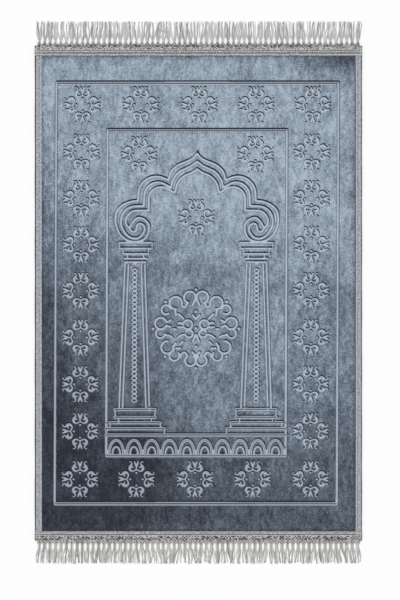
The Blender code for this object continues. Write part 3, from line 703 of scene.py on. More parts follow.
def carried(sections):
    """Skins through sections, an array of (skins, steps, around, 3): points, side quads, caps and UV.

    Point k of step s joins point k + 1 of the same step and both of the next step. The first cap is
    turned round, so that sections that run anticlockwise seen from the far end give faces that point out.
    """
    skins, steps, around, _ = sections.shape
    number = np.arange(skins * steps * around).reshape(skins, steps, around)
    here, ahead = number[:, :-1], number[:, 1:]
    quads = np.stack([here, np.roll(here, -1, axis=2), np.roll(ahead, -1, axis=2), ahead], axis=-1)
    caps = np.concatenate([number[:, 0, ::-1], number[:, -1]])
    moved = np.linalg.norm(np.diff(sections.mean(axis=2), axis=1), axis=2)
    along = np.concatenate([np.zeros((skins, 1)), np.cumsum(moved, axis=1)], axis=1)
    u0 = np.broadcast_to(along[:, :-1, None], here.shape)
    u1 = np.broadcast_to(along[:, 1:, None], here.shape)
    v0 = np.broadcast_to(np.arange(around) / around, here.shape)
    v1 = v0 + 1 / around
    side_uv = np.stack([u0, v0, u0, v1, u1, v1, u1, v0], axis=-1).reshape(-1, 2)
    cap_uv = np.zeros((caps.size, 2))
    points = sections.reshape(-1, 3)
    return points, [quads.reshape(-1, 4), caps.reshape(-1, around)], np.vstack([side_uv, cap_uv])


def yarns(paths, radius):
    """Round yarns along paths of (yarns, steps, 3): each step carries a ring square to its way.

    A ring's point lies at the path plus the radius times (cosine of its angle along the side vector plus
    sine of its angle along the up vector).
    """
    way = np.gradient(paths, axis=1)
    way /= np.linalg.norm(way, axis=2)[..., None]
    side = np.cross(way, (0.0, 0.0, 1.0))
    side /= np.maximum(np.linalg.norm(side, axis=2), TINY)[..., None]
    up = np.cross(side, way)
    angle = 2 * math.pi * np.arange(YARN_SIDES) / YARN_SIDES
    ring = np.cos(angle)[:, None] * side[:, :, None, :] + np.sin(angle)[:, None] * up[:, :, None, :]
    return carried(paths[:, :, None, :] + np.asarray(radius)[..., None, None] * ring)


def smooth_step(values, low, high):
    """0 below low, 1 above high, and a smooth cubic step between."""
    share = np.clip((values - low) / (high - low), 0, 1)
    return share * share * (3 - 2 * share)


def set_attribute(piece, name, values):
    """A number on each point of a piece."""
    attribute = piece.data.attributes.new(name, "FLOAT", "POINT")
    attribute.data.foreach_set("value", np.asarray(values, np.float32).ravel())


def dress(piece, slot, *nodes):
    """Lets a piece ride with the rug and stand for its nodes; the slot is not used."""
    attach(piece, "root")
    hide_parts(*nodes)


def fitted(name, shape, finish, slot, node, dust=None):
    """A smooth piece from a skin, with dust on its points where there is any, that stands for a node."""
    points, faces, uv = shape
    piece = mesh_piece(name, points, faces, finish, uv)
    if dust is not None:
        set_attribute(piece, "shade_and_darkening", dust)
    piece.data.shade_smooth()
    dress(piece, slot, node)


def painted_nap_sheen(points):
    """How light the pile looks, as painted sheen of its nap: 0 is dark and 1 light.

    A smooth step from the foot's value to the head's where the nap turns, plus soft clouds, each a bell of
    the distance over its reach, less a bell of painted shadow beside the tapes and a bell at the head.
    """
    across, up = points[:, 0] / MM, points[:, 1] / MM
    turns = NAP_TURNS_UP + 22 * np.sin(across / 61) + 14 * np.sin(across / 23 + 1)
    value = NAP_FOOT + (NAP_HEAD - NAP_FOOT) * smooth_step(up - turns, -NAP_TURNS_REACH, NAP_TURNS_REACH)
    for cloud in NAP_CLOUDS:
        turn = math.radians(cloud.turn)
        right, ahead = across - cloud.across, up - cloud.up
        u = (right * math.cos(turn) + ahead * math.sin(turn)) / cloud.reach_across
        v = (ahead * math.cos(turn) - right * math.sin(turn)) / cloud.reach_up
        value += cloud.change * np.exp(-(u * u + v * v))
    from_sides = EDGE_STEP / MM - np.abs(across)
    inwards = np.minimum(from_sides, np.minimum(HEAD_SEAM / MM - up, up - FOOT_SEAM / MM))
    value -= PAINTED_TAPE_SHADOW * np.exp(-((inwards / TAPE_SHADOW_REACH) ** 2))
    value -= NAP_AT_HEAD * np.exp(-(((HEAD_SEAM / MM - up) / NAP_HEAD_REACH) ** 2))
    return np.clip(value, LEAST_NAP, 1.0)


def unpressed_top(points, unevenness):
    """The pile's height before pressing: lower under the tapes, and a sum of slow sines elsewhere."""
    across, up = np.abs(points[:, 0]), points[:, 1]
    end = np.maximum(up - HEAD_SEAM, FOOT_SEAM - up)
    under_end_tape = np.interp(end, [-SLOPE, 0], [PILE_TOP, BINDING_TOP])
    under_binding = np.interp(across, [EDGE_STEP, EDGE_FOOT], [PILE_TOP, EDGE_TOP])
    waves = np.sin(points[:, 0] * 47 + np.sin(up * 31) * 2) + np.sin(up * 58 + np.sin(points[:, 0] * 39) * 2)
    inside = (end < -SLOPE) & (across < EDGE_STEP)
    return np.minimum(under_end_tape, under_binding) + inside * waves * unevenness / 2


def panel_mesh(pattern, spacing, depth, unevenness):
    """The velvet cloth: the top is a height over points that follow the pattern; below it is flat.

    Height = unpressed pile minus the groove's depth times how far the point is pressed. The edge is
    thinner inside the folded tapes. Returns points, face groups and what pressed() tells of each point.
    """
    wide, head, foot = PANEL_HALF, PANEL_HIGH.y, PANEL_LOW.y
    outline = [(-wide, foot), (wide, foot), (wide, head), (-wide, head)]
    for across in (-EDGE_FOOT, -EDGE_STEP, EDGE_STEP, EDGE_FOOT):
        outline += [(across, foot), (across, head)]
    for up in (FOOT_SEAM, FOOT_SEAM + SLOPE, HEAD_SEAM - SLOPE, HEAD_SEAM):
        outline += [(-EDGE_FOOT, up), (EDGE_FOOT, up)]
    edges = [(0, 1), (1, 2), (2, 3), (3, 0)]
    edges += [(start, start + 1) for start in range(4, len(outline), 2)]
    low_up, high_up = FOOT_SEAM + SLOPE, HEAD_SEAM - SLOPE
    columns = np.linspace(-EDGE_STEP, EDGE_STEP, round(2 * EDGE_STEP / spacing) + 1)
    rows = np.linspace(low_up, high_up, round((high_up - low_up) / spacing) + 1)
    grid = np.stack(np.meshgrid(columns, rows), axis=-1).reshape(-1, 2)
    free = np.concatenate([grid[pattern.pressed(grid)[0] == 0], pattern.points()])
    _, kept = np.unique(np.round(free / CLOSEST).astype(np.int64), axis=0, return_index=True)
    points = np.concatenate([outline, free[np.sort(kept)]])
    flat, _, triangles, *_ = delaunay_2d_cdt(points.tolist(), edges, [], 0, MERGE, False)
    flat = np.array(flat)
    marks = pattern.pressed(flat)
    height = unpressed_top(flat, unevenness) - depth * marks[0]
    top = np.column_stack([flat, height])
    under, number = [], {}
    for up in (foot, head):
        for side in (-1, 1):
            start, inner = len(top) + len(under), side * EDGE_FOOT
            number[up, side] = [start, start + 1, start + 2]
            under += [(side * wide, up, EDGE_UNDER), (inner, up, EDGE_UNDER), (inner, up, 0)]
    faces = [np.array(triangles)]
    for up, way in ((foot, 1), (head, -1)):
        edge = np.flatnonzero(np.isclose(top[:, 1], up, atol=MERGE))
        edge = edge[np.argsort(-way * top[edge, 0])]
        number[up, way].insert(0, edge[0])
        number[up, -way].insert(0, edge[-1])
        faces.append(np.array([[*edge, *number[up, -way][1:], *number[up, way][:0:-1]]]))
    for side in (-1, 1):
        near, far = number[foot, side], number[head, side]
        for level in range(3):
            face = [near[level], near[level + 1], far[level + 1], far[level]]
            faces.append(np.array([face[::side]]))
    floor = [number[up, side][3] for up, side in ((foot, -1), (head, -1), (head, 1), (foot, 1))]
    faces.append(np.array([floor]))
    return np.vstack([top, under]), faces, np.hstack([marks, np.zeros((3, len(under)))])


# ---- materials


class Graph:
    """Adds nodes to a tree; an input is a value or another node's output."""

    def __init__(self, tree):
        self.tree = tree

    def add(self, kind, inputs=None, **settings):
        """A node with its settings and inputs."""
        node = self.tree.nodes.new(kind)
        for name, value in settings.items():
            setattr(node, name, value)
        for socket, value in (inputs or {}).items():
            self.join(node.inputs[socket], value)
        return node

    def join(self, socket, value):
        """Links an output to the socket, or sets the socket's value."""
        if isinstance(value, bpy.types.NodeSocket):
            self.tree.links.new(value, socket)
        else:
            socket.default_value = value

    def place(self, output="Object"):
        """Where a point lies, in metres or in the piece's own UV."""
        return self.add("ShaderNodeTexCoord").outputs[output]

    def attribute(self, name):
        """A number that the piece's points carry."""
        return self.add("ShaderNodeAttribute", attribute_name=name).outputs["Fac"]

    def noise(self, vector, scale, detail=2.0, roughness=0.6):
        """A noise value around a half."""
        inputs = {"Vector": vector, "Scale": scale, "Detail": detail, "Roughness": roughness}
        return self.add("ShaderNodeTexNoise", inputs).outputs[0]

    def maths(self, operation, first, second=0.0, third=0.0, clamp=False):
        """The result of a maths node."""
        inputs = {0: first, 1: second, 2: third}
        return self.add("ShaderNodeMath", inputs, operation=operation, use_clamp=clamp).outputs[0]

    def times(self, first, second, clamp=False):
        """The product of two numbers."""
        return self.maths("MULTIPLY", first, second, clamp=clamp)

    def scaled(self, value, factor, offset, clamp=False):
        """A number times a factor, plus an offset."""
        return self.maths("MULTIPLY_ADD", value, factor, offset, clamp)

    def mapped(self, value, low, high, at_low, at_high):
        """A straight rise from one value at low to another at high, level beyond both."""
        return self.add("ShaderNodeMapRange", {0: value, 1: low, 2: high, 3: at_low, 4: at_high}).outputs[0]

    def tinted(self, colour, share):
        """A colour times a number."""
        return self.add("ShaderNodeVectorMath", {0: colour, 1: share}, operation="MULTIPLY").outputs[0]

    def mix(self, share, first, second):
        """Two colours mixed, each another node's output or three values."""
        ends = [c if isinstance(c, bpy.types.NodeSocket) else (*c, 1.0) for c in (first, second)]
        return self.add("ShaderNodeMix", {0: share, 6: ends[0], 7: ends[1]}, data_type="RGBA").outputs[2]


def new_material(name):
    """An empty material, its graph and its shader."""
    made = bpy.data.materials.new(name)
    made.use_nodes = True
    return made, Graph(made.node_tree), made.node_tree.nodes["Principled BSDF"]


def set_shader(graph, shader, colour, values, relief=None, strength=0.0, distance=0.0):
    """Gives a shader its colour and values, and a bump from a relief where there is one."""
    for name, value in {"Base Color": colour, **values}.items():
        graph.join(shader.inputs[name], value)
    if relief is not None:
        bump = graph.add("ShaderNodeBump", {"Height": relief, "Strength": strength, "Distance": distance})
        graph.join(shader.inputs["Normal"], bump.outputs[0])


def fibre_group():
    """Fine fibres: two noises of different fineness, as a shade around 1 and a height."""
    if "fibre_grain" in bpy.data.node_groups:
        return bpy.data.node_groups["fibre_grain"]
    tree = bpy.data.node_groups.new("fibre_grain", "ShaderNodeTree")
    for socket, way, kind in (
        ("Vector", "INPUT", "Vector"), ("Scale", "INPUT", "Float"), ("Contrast", "INPUT", "Float"),
        ("Shade", "OUTPUT", "Float"), ("Height", "OUTPUT", "Float"),
    ):
        tree.interface.new_socket(socket, in_out=way, socket_type=f"NodeSocket{kind}")
    graph = Graph(tree)
    given, result = graph.add("NodeGroupInput").outputs, graph.add("NodeGroupOutput").inputs
    coarse = graph.noise(given["Vector"], given["Scale"], 3.0)
    fine = graph.noise(given["Vector"], graph.times(given["Scale"], 3.7), 2.0, 0.7)
    height = graph.maths("ADD", graph.times(coarse, 0.6), graph.times(fine, 0.4))
    swing = graph.times(graph.maths("SUBTRACT", height, 0.5), given["Contrast"])
    graph.join(result["Shade"], graph.maths("ADD", swing, 1.0))
    graph.join(result["Height"], height)
    return tree


def fibres(graph, vector, scale, contrast):
    """The fibre group in a material: its shade and height."""
    inputs = {"Vector": vector, "Scale": scale, "Contrast": contrast}
    node = graph.add("ShaderNodeGroup", inputs, node_tree=fibre_group())
    return node.outputs["Shade"], node.outputs["Height"]


def colour_ramp(graph, value, stops):
    """A colour for each value, from stops of (place, colour)."""
    node = graph.add("ShaderNodeValToRGB", {0: value})
    ramp = node.color_ramp
    while len(ramp.elements) < len(stops):
        ramp.elements.new(0.5)
    for element, (place, colour) in zip(ramp.elements, stops):
        element.position = place
        element.color = (*colour, 1.0)
    return node.outputs[0]


def velvet_material(settings):
    """Pile whose lightness is painted sheen that follows the nap's clouds and mottling, which is calmer in
    dark pile.

    Floors of the pressed lines are smooth and pale, and dark along the middle of wide ones. Walls carry
    painted shade where the pressing is half done, the more the further they turn from the light.
    """
    made, graph, shader = new_material("pressed_velvet")
    place = graph.place()
    nap, pressed, turned, middle = (graph.attribute(name) for name in ("nap", "pressed", "turned", "middle"))
    stretched = graph.add("ShaderNodeMapping", {"Vector": place, "Scale": (1.0, 0.5, 1.0)}).outputs[0]
    calm = graph.mapped(nap, 0.0, 0.4, 0.62, 1.0)
    for vector, scale, detail, strength in (
        (place, 14.0, 3.0, 0.42), (stretched, 45.0, 3.0, 0.62), (stretched, 130.0, 2.0, 0.70),
        (place, 330.0, 2.0, 1.12),
    ):
        swing = graph.maths("SUBTRACT", graph.noise(vector, scale, detail), 0.5)
        nap = graph.maths("MULTIPLY_ADD", graph.times(swing, calm), strength, nap)
    nap = graph.maths("SMOOTH_MAX", nap, 0.0, 0.4)
    # Painted sheen: the nap's lightness picks the pile's colour and the floors' colour, from dark to light
    stops = ((0.0, settings.dark_nap), (0.5, settings.middle_nap), (1.0, settings.light_nap))
    floor = graph.mix(nap, settings.dark_floor, settings.light_floor)
    floor = graph.mix(graph.mapped(middle, 0.30, 0.70, 0.0, 0.80), floor, settings.wall_shade)
    floor = graph.tinted(floor, graph.scaled(graph.noise(place, 300.0), 0.8, 0.60))
    flat = graph.mix(pressed, colour_ramp(graph, nap, stops), floor)
    # Painted shade on the walls, the more the further they turn from the light
    wall = graph.times(pressed, graph.maths("SUBTRACT", 1.0, pressed))
    away = graph.maths("MAXIMUM", graph.scaled(turned, 0.80, 0.38, clamp=True), 0.48)
    dark = graph.times(graph.times(wall, 9.5, clamp=True), away)
    shade, height = fibres(graph, place, 620.0, 0.55)
    colour = graph.tinted(graph.mix(dark, flat, settings.wall_shade), shade)
    values = {
        "Roughness": graph.mapped(pressed, 0.0, 1.0, 0.95, 0.65), "Specular IOR Level": 0.2,
        "Sheen Weight": settings.sheen, "Sheen Roughness": 0.45, "Sheen Tint": (0.72, 0.82, 1.0, 1.0),
    }
    set_shader(graph, shader, colour, values, height, 0.6, 0.0006)
    return made


def tape_material(name, colour, shade_and_darkening, rib_axes):
    """Woven tape: squares of ribs and threads that go over and under, worn, in flecks of painted shade and
    darkening.
    """
    made, graph, shader = new_material(name)
    place = graph.place()
    ribs, threads = (
        graph.add("ShaderNodeTexWave", {"Vector": place, "Scale": scale, "Distortion": 1.2},
                  bands_direction=axis).outputs["Fac"]
        for scale, axis in zip((52.0, 54.0), rib_axes))
    shade, height = fibres(graph, place, 400.0, 2.1)
    both = graph.times(graph.times(ribs, threads), -2.0)
    weave = graph.maths("ADD", graph.maths("ADD", ribs, threads), both)
    dim = graph.times(graph.scaled(weave, 0.62, 0.58), graph.scaled(graph.noise(place, 210.0), 2.2, -0.12))
    woven = graph.tinted((*colour,), graph.times(dim, shade))
    flecks = graph.times(graph.noise(place, 300.0), 2.4)
    # Painted shade on the side tapes' edge rolls and lips and at the head tape's seam; elsewhere plain
    # darkening
    darkened = graph.times(graph.attribute("shade_and_darkening"), flecks, clamp=True)
    values = {"Roughness": 0.8, "Sheen Weight": 0.15, "Sheen Roughness": 0.5}
    relief = graph.maths("ADD", weave, graph.times(height, 0.4))
    set_shader(graph, shader, graph.mix(darkened, woven, shade_and_darkening), values, relief, 0.7, 0.0005)
    return made


def yarn_material(name, colour, shade_and_darkening, twist):
    """Twisted yarn: slanted plies that run round it, from its own UV, fine fibres, and dust at its root."""
    made, graph, shader = new_material(name)
    place = graph.place()
    along, around, _ = graph.add("ShaderNodeSeparateXYZ", {0: graph.place("UV")}).outputs
    slant = graph.maths("ADD", graph.times(along, twist), graph.times(around, 2.0))
    plies = graph.maths("SINE", graph.times(slant, 2 * math.pi))
    shade, height = fibres(graph, place, 1100.0, 0.6)
    dim = graph.times(graph.scaled(plies, 0.07, 0.93), graph.scaled(graph.noise(place, 60.0), 0.3, 0.85))
    spun = graph.tinted((*colour,), graph.times(dim, shade))
    values = {"Roughness": 0.85, "Sheen Weight": 0.2, "Sheen Roughness": 0.5}
    relief = graph.maths("ADD", graph.times(plies, 0.5), height)
    set_shader(graph, shader, graph.mix(graph.attribute("shade_and_darkening"), spun, shade_and_darkening), values, relief, 0.6, 0.0003)
    return made


def floor_material(colour):
    """A plain pale floor with a hardly visible unevenness."""
    made, graph, shader = new_material("studio_floor")
    tone = graph.scaled(graph.noise(graph.place(), 3.0, 2.0, 0.5), 0.008, 0.996)
    set_shader(graph, shader, graph.tinted((*colour,), tone), {"Roughness": 0.9, "Specular IOR Level": 0.1})
    return made


# ---- settings


def colour_setting(name, use, colour):
    """A colour that can be changed, from its 8-bit value."""
    return FloatVectorProperty(
        name=name, description=use, subtype="COLOR", default=linear(colour), min=0, max=1)


def length_setting(name, use, size):
    """A length that can be changed."""
    return FloatProperty(name=name, description=use, default=size, unit="LENGTH")


class RugVelvetSettings(bpy.types.PropertyGroup):
    """Pile and pressing."""

    # Nap colours are painted sheen of the pile, and the wall shade is painted shade
    dark_nap: colour_setting("Dark nap", "Pile stroked away from the light", DARK_NAP)
    middle_nap: colour_setting("Middle nap", "Pile that stands", MIDDLE_NAP)
    light_nap: colour_setting("Light nap", "Pile stroked towards the light", LIGHT_NAP)
    dark_floor: colour_setting("Dark floor", "Floor of the pressed lines in dark pile", DARK_FLOOR)
    light_floor: colour_setting("Light floor", "Floor of the pressed lines in light pile", LIGHT_FLOOR)
    wall_shade: colour_setting("Wall shade", "Walls of the lines that face away from the light", WALL_SHADE)
    depth: length_setting("Depth", "How deep the lines are pressed", 0.0015)
    unevenness: length_setting("Unevenness", "Height of the slow waves in the pile", 0.00012)
    spacing: length_setting("Spacing", "Distance between points away from the pattern", 0.0075)
    sheen: FloatProperty(name="Sheen", description="Sheen of the pile", default=0.35, min=0, max=1)


class RugTapeSettings(bpy.types.PropertyGroup):
    """Side and end tapes."""

    side_colour: colour_setting("Side tape", "Colour of the folded side tapes", TAPE_GREY)
    end_colour: colour_setting("End tape", "Colour of the end tapes", END_TAPE_GREY)
    thread_colour: colour_setting("Thread", "Colour of the sewing thread", THREAD_GREY)
    shade_and_darkening_colour: colour_setting("Dust", "Colour of the dust in seams and at roots", SHADE_AND_DARKENING_GREY)
    rib_pitch: length_setting("Rib pitch", "Distance between the woven ribs", 0.0048)
    rib_height: length_setting("Rib height", "Height of the woven ribs", 0.00018)
    stitch_pitch: length_setting("Stitch pitch", "Distance between stitches", 0.0046)


class RugFringeSettings(bpy.types.PropertyGroup):
    """Tassels."""

    head_colour: colour_setting("Head yarn", "Colour of the head fringe's yarn", HEAD_YARN_GREY)
    foot_colour: colour_setting("Foot yarn", "Colour of the foot fringe's yarn", FOOT_YARN_GREY)
    tassels: IntProperty(name="Tassels", description="Tassels at each end", default=60, min=2)
    yarns: IntProperty(name="Yarns", description="Yarns in each tassel", default=15, min=6)
    radius: length_setting("Yarn radius", "Radius of a yarn", 0.00058)


class RugStageSettings(bpy.types.PropertyGroup):
    """Floor, light and camera."""

    floor_colour: colour_setting("Floor", "Colour of the floor", FLOOR_WHITE)
    sky: FloatProperty(name="Sky", description="Strength of the light from all around", default=0.48)
    sun: FloatProperty(name="Sun", description="Strength of the soft light past the head end", default=2.3)
    sun_height: FloatProperty(
        name="Sun height", description="How high the soft light stands", subtype="ANGLE",
        default=math.radians(58))
    camera_height: length_setting("Camera height", "Camera above the floor", 4.075)


# ---- operators


class RUG_OT_velvet_panel(bpy.types.Operator):
    """Build the velvet cloth with its pressed pattern"""

    bl_idname = "rug.velvet_panel"
    bl_label = "Velvet panel"

    def execute(self, context):
        settings = context.scene.rug_velvet
        pattern = pressed_pattern()
        points, faces, marks = panel_mesh(pattern, settings.spacing, settings.depth, settings.unevenness)
        cloth = mesh_piece("velvet_cloth", points, faces, velvet_material(settings))
        for name, values in zip(("pressed", "turned", "middle", "nap"), (*marks, painted_nap_sheen(points))):
            set_attribute(cloth, name, values)
        cloth.data.shade_smooth()
        cloth.data.set_sharp_from_angle(angle=SHARP_ANGLE)
        dress(cloth, "velvet", "velvet_panel")
        return {"FINISHED"}


def ribbed(start, end, pitch, height):
    """Stations two to a rib, and the rib's height at every second one."""
    steps = round((end - start) / pitch * 2)
    number = np.arange(steps + 1)[:, None]
    return np.linspace(start, end, steps + 1)[:, None], np.where(number % 2 == 0, height, 0.0)


def darkened_sections(across, along, tall, dust, turned):
    """The sections of one skin, turned round where its faces would point in, and the dust of each point."""
    sections = np.stack(np.broadcast_arrays(across, along, tall, dust), axis=-1)
    sections = sections[:, ::-1] if turned else sections
    return sections[None, ..., :3], sections[..., 3]


def side_tape_sections(side, pitch, height, painted_edge_shade, lip):
    """Sections of a side tape: a lying U whose top has an edge roll, a band, a channel and a lip.

    Height = the profile's plus a rib's at every second station, and the outer edge wanders by a slow sine.
    A row of the profile is how far it lies in from the edge, its height and its darkening: painted shade on
    the outer edge roll, scaled per side, painted shadow where the lip drops to the pile, and a darker
    stitched channel.
    """
    out, up, dust = np.array([
        (17.0, 0.0, 0.2), (1.2, 0.0, 0.2), (0.3, 0.6, painted_edge_shade), (0.0, 1.7, painted_edge_shade),
        (0.2, 2.9, painted_edge_shade), (0.7, 3.7, painted_edge_shade), (1.5, 4.0, painted_edge_shade), (2.8, 4.1, 0.9 * painted_edge_shade),
        (3.7, 4.6, 0.1), (5.0, 4.8, 0.0), (8.0, 4.7, 0.12), (9.6, 4.5, 0.12), (10.3, 4.2, 0.25),
        (12.2, 4.2, 0.22), (13.0, 4.5, 0.05), (lip - 1.8, 4.7, 0.0), (lip - 0.6, 4.8, 0.0), (lip, 4.3, 0.25),
        (lip + 0.05, 3.2, 0.8), (1.0, 3.1, 0.2), (1.0, 1.0, 0.2), (17.0, 1.0, 0.2),
    ]).T
    out, up = out * MM, up * MM
    along, rib = ribbed(PANEL_LOW.y, PANEL_HIGH.y, pitch, height)
    raised = smooth_step(up, 2.0 * MM, 4.0 * MM) * (np.arange(len(up)) < SIDE_TOP_POINTS)
    wander = EDGE_WANDER * np.sin(along * 41) * smooth_step(-out, -3.0 * MM, 0)
    across = side * (BODY_HALF - out - np.maximum(wander, -MOST_OUTWARD))
    return darkened_sections(across, along, up + rib * raised, dust, side > 0)


class RUG_OT_side_tapes(bpy.types.Operator):
    """Build the folded tapes along the sides"""

    bl_idname = "rug.side_tapes"
    bl_label = "Side tapes"

    def execute(self, context):
        settings = context.scene.rug_tape
        finish = tape_material("side_tape_weave", settings.side_colour, settings.shade_and_darkening_colour, "YX")
        # The outer edge roll's painted shade is full on the left and less on the right, as the light comes
        # from the right
        for side, name, painted_edge_shade, lip in ((-1, "left", 1.0, 17.45), (1, "right", 0.62, 16.0)):
            sections, dust = side_tape_sections(side, settings.rib_pitch, settings.rib_height, painted_edge_shade, lip)
            fitted(f"side_tape_{name}", carried(sections), finish, "woven_tape", f"binding_{name}", dust)
        return {"FINISHED"}


def end_tape_sections(end, seam, ridges, pitch, height):
    """Sections of an end tape, carried across the rug: a top with ridges and a nose folded over the end.

    The top's height is the CAD's plus a bell for each ridge, whose dust is a bell too; the outer edge draws
    in at both corners by a smooth step, and every second station is a rib.
    """
    width = abs(end - seam)
    way = 1 if end > seam else -1
    inward = np.concatenate([[0.0, 0.0, 0.4, 1.2], np.linspace(2.4, width / MM - 0.4, TOP_STATIONS),
                             [width / MM]]) * MM
    top = np.full(len(inward), END_TAPE_TOP)
    top[:4] = np.array([1.2, 3.4, 4.5, 5.0]) * MM
    shade_and_darkening = np.zeros(len(inward))
    for ridge in ridges:
        bell = np.exp(-(((inward / MM - ridge.place) / ridge.reach) ** 2)) * (inward > 2 * MM)
        top += ridge.rise * MM * bell
        shade_and_darkening += ridge.dust * bell
    top[-1] = END_TAPE_TOP - SEAM_DROP
    nose = abs(end - (PANEL_HIGH.y if way > 0 else PANEL_LOW.y)) - GAP
    under = np.array([(width, END_TAPE_UNDER), (nose, END_TAPE_UNDER), (nose, 0.0), (0.001, 0.0)])
    out = np.concatenate([inward, under[:, 0]])
    tall = np.concatenate([top, under[:, 1]])
    dust = np.concatenate([np.clip(shade_and_darkening, 0, 1), np.full(len(under), 0.5)])
    across, rib = ribbed(-BODY_HALF, BODY_HALF, pitch, height)
    raised = np.concatenate([smooth_step(inward, 1 * MM, 3 * MM), np.zeros(len(under))])
    drawn = CORNER_DRAWN * (1 - smooth_step(BODY_HALF - np.abs(across), 0, CORNER_ACROSS)) ** 1.5
    along = end - way * (out + drawn * (1 - smooth_step(out, 0, CORNER_DEEP)))
    return darkened_sections(across, along, tall + rib * raised, dust, way < 0)


def stitch_row(start, end, height, pitch, slant):
    """Paths of a row of stitches: each is a short bow, raised by a cosine about its middle."""
    start, end = np.array(start), np.array(end)
    length = np.linalg.norm(end - start)
    count = round(length / pitch)
    way = (end - start) / length
    side = np.array([-way[1], way[0]])
    share = np.linspace(-STITCH_HALF, STITCH_HALF, STITCH_STATIONS)
    middle = (np.arange(count) + 0.5)[:, None] * pitch
    flat = start + way * (middle + share * pitch)[..., None] + side * (slant * share)[None, :, None]
    tall = height + BOW_HEIGHT * np.cos(share * math.pi)
    return np.concatenate([flat, np.broadcast_to(tall[None, :, None], (*flat.shape[:2], 1))], axis=2)


def braid_stitches(end, way, seed):
    """Paths of a braid's stitches and their dust: every second one is dusty, and a few are out of turn."""
    random = np.random.default_rng(seed)
    rows, dust = [], []
    for number, row in enumerate(BRAID_ROWS):
        up = end - way * row.place * MM
        ends = (-BRAID_REACH, up), (BRAID_REACH, up)
        rows.append(stitch_row(*ends, BRAID_HEIGHT, BRAID_PITCH, row.slant * MM))
        slips = random.uniform(0, 1, len(rows[-1])) < BRAID_SLIPS
        darkened = (np.arange(len(slips)) + number + slips) % 2
        row_dust = row.head_dust if way > 0 else row.foot_dust
        dust.append(np.minimum(row_dust * darkened * random.uniform(0.8, 1.4, len(slips)), 1.0))
    return np.concatenate(rows), np.concatenate(dust)


class RUG_OT_end_tapes(bpy.types.Operator):
    """Build the woven tapes over both ends"""

    bl_idname = "rug.end_tapes"
    bl_label = "End tapes"

    def execute(self, context):
        settings = context.scene.rug_tape
        finish = tape_material("end_tape_weave", settings.end_colour, settings.shade_and_darkening_colour, "XY")
        thread = yarn_material("braid_thread", settings.thread_colour, settings.shade_and_darkening_colour, 500.0)
        for name, end, seam, ridges, seed in (
            ("head", HEAD_END, HEAD_SEAM, HEAD_RIDGES, 5), ("foot", FOOT_TAPE_END, FOOT_SEAM, FOOT_RIDGES, 7),
        ):
            sections, dust = end_tape_sections(end, seam, ridges, settings.rib_pitch, settings.rib_height)
            fitted(f"{name}_tape", carried(sections), finish, "woven_tape", f"fringe_{name}", dust)
            paths, dust = braid_stitches(end, 1 if end > seam else -1, seed)
            dust = np.repeat(dust, YARN_SIDES * paths.shape[1])
            fitted(f"{name}_braid", yarns(paths, BRAID_RADIUS), thread, "woven_tape", f"fringe_{name}", dust)
        return {"FINISHED"}


def tassel_yarns(end, tip, tassels, count, seed, shape):
    """Paths of all yarns of one fringe: strands that leave the tape in necks and then fan out to the tips.

    With s the way out from the tape's end, across = the tassel's middle + the yarn's place in the bundle
    times its half width, wide at the root, least at the neck and opened by a smooth step to the fan + lean
    and each yarn's own drift, both rising towards the tip + a small sine. The height falls from the tape's
    top to the yarn's layer over the floor.
    """
    random = np.random.default_rng(seed)
    way = 1 if tip > end else -1
    length = abs(tip - end)
    pitch = 2 * (BODY_HALF - FRINGE_MARGIN) / tassels
    middle = np.repeat((np.arange(tassels) - (tassels - 1) / 2) * pitch, count)[:, None]
    each = (len(middle), 1)
    place = (np.arange(tassels) / (tassels - 1) - 0.5) * 2
    lean = random.normal(0, LEAN_SPREAD, tassels) + LEAN_WAVE * np.sin(place * 17)
    lean = np.repeat(lean + LEAN_AT_CORNERS * place**5, count)[:, None]
    strands = count // STRAND_YARNS
    rank = np.tile(np.arange(count), tassels)[:, None]
    strand = rank // STRAND_YARNS
    order = (strand / (strands - 1) - 0.5) * 2 + (rank % STRAND_YARNS - 1) * 0.13
    neck = shape.neck + np.repeat(random.normal(0, NECK_SPREAD, tassels), count)[:, None]
    of_strand = np.repeat(np.arange(tassels * strands), STRAND_YARNS)
    short = np.abs(random.normal(0, STRAND_SHORTNESS, tassels * strands)[of_strand, None])
    reach = length + LONGEST_PAST - short - np.abs(random.normal(0, YARN_SHORTNESS, each))
    out = ROOT_UNDER_TAPE + np.linspace(0, 1, YARN_STATIONS) * (reach - ROOT_UNDER_TAPE)
    opening = smooth_step(out, neck, neck + OPENING_LENGTH)
    drift = smooth_step(out, neck, length * 1.02)
    flare = 1 - smooth_step(out, 0.0, shape.root_length)
    half = shape.neck_half * (1 - opening) + shape.fan_half * opening + ROOT_FLARE * flare
    across = middle + order * half
    loose = random.normal(0, STRAND_DRIFT, tassels * strands)[of_strand, None]
    across += (loose + random.normal(0, YARN_DRIFT, each) + lean) * drift
    wave = np.sin(out * random.uniform(80, 200, tassels * strands)[of_strand, None] + strand * 1.7)
    across += wave * SWAY * drift
    layer = random.uniform(LOWEST_LAYER, HIGHEST_LAYER, each) * MM * (1 - 0.4 * drift)
    on_tape = 1 - smooth_step(out, -0.001, ROOT_DOWN_TO)
    tall = on_tape * (END_TAPE_TOP + ROOT_OVER_TAPE) + (1 - on_tape) * layer
    radius = random.uniform(0.8, 1.2, each) * (1 - 0.4 * smooth_step(out, length * 0.4, length))
    darkened = random.uniform(0, 1, tassels * strands) < DUSTY_STRANDS
    darkened = np.where(darkened, shape.dust, 0.04)[of_strand, None]
    dust = shape.root_dust * (1 - smooth_step(out, 0.0, ROOT_DOWN_TO))
    dust = dust + MIDDLE_DARKENING * np.clip(1 - np.abs(order), 0, 1)
    dust = np.clip(dust + darkened * (0.6 + 0.4 * drift) + random.uniform(-0.1, 0.1, each), 0, 0.85)
    return np.stack([across, end + way * out, tall], axis=-1), radius, dust


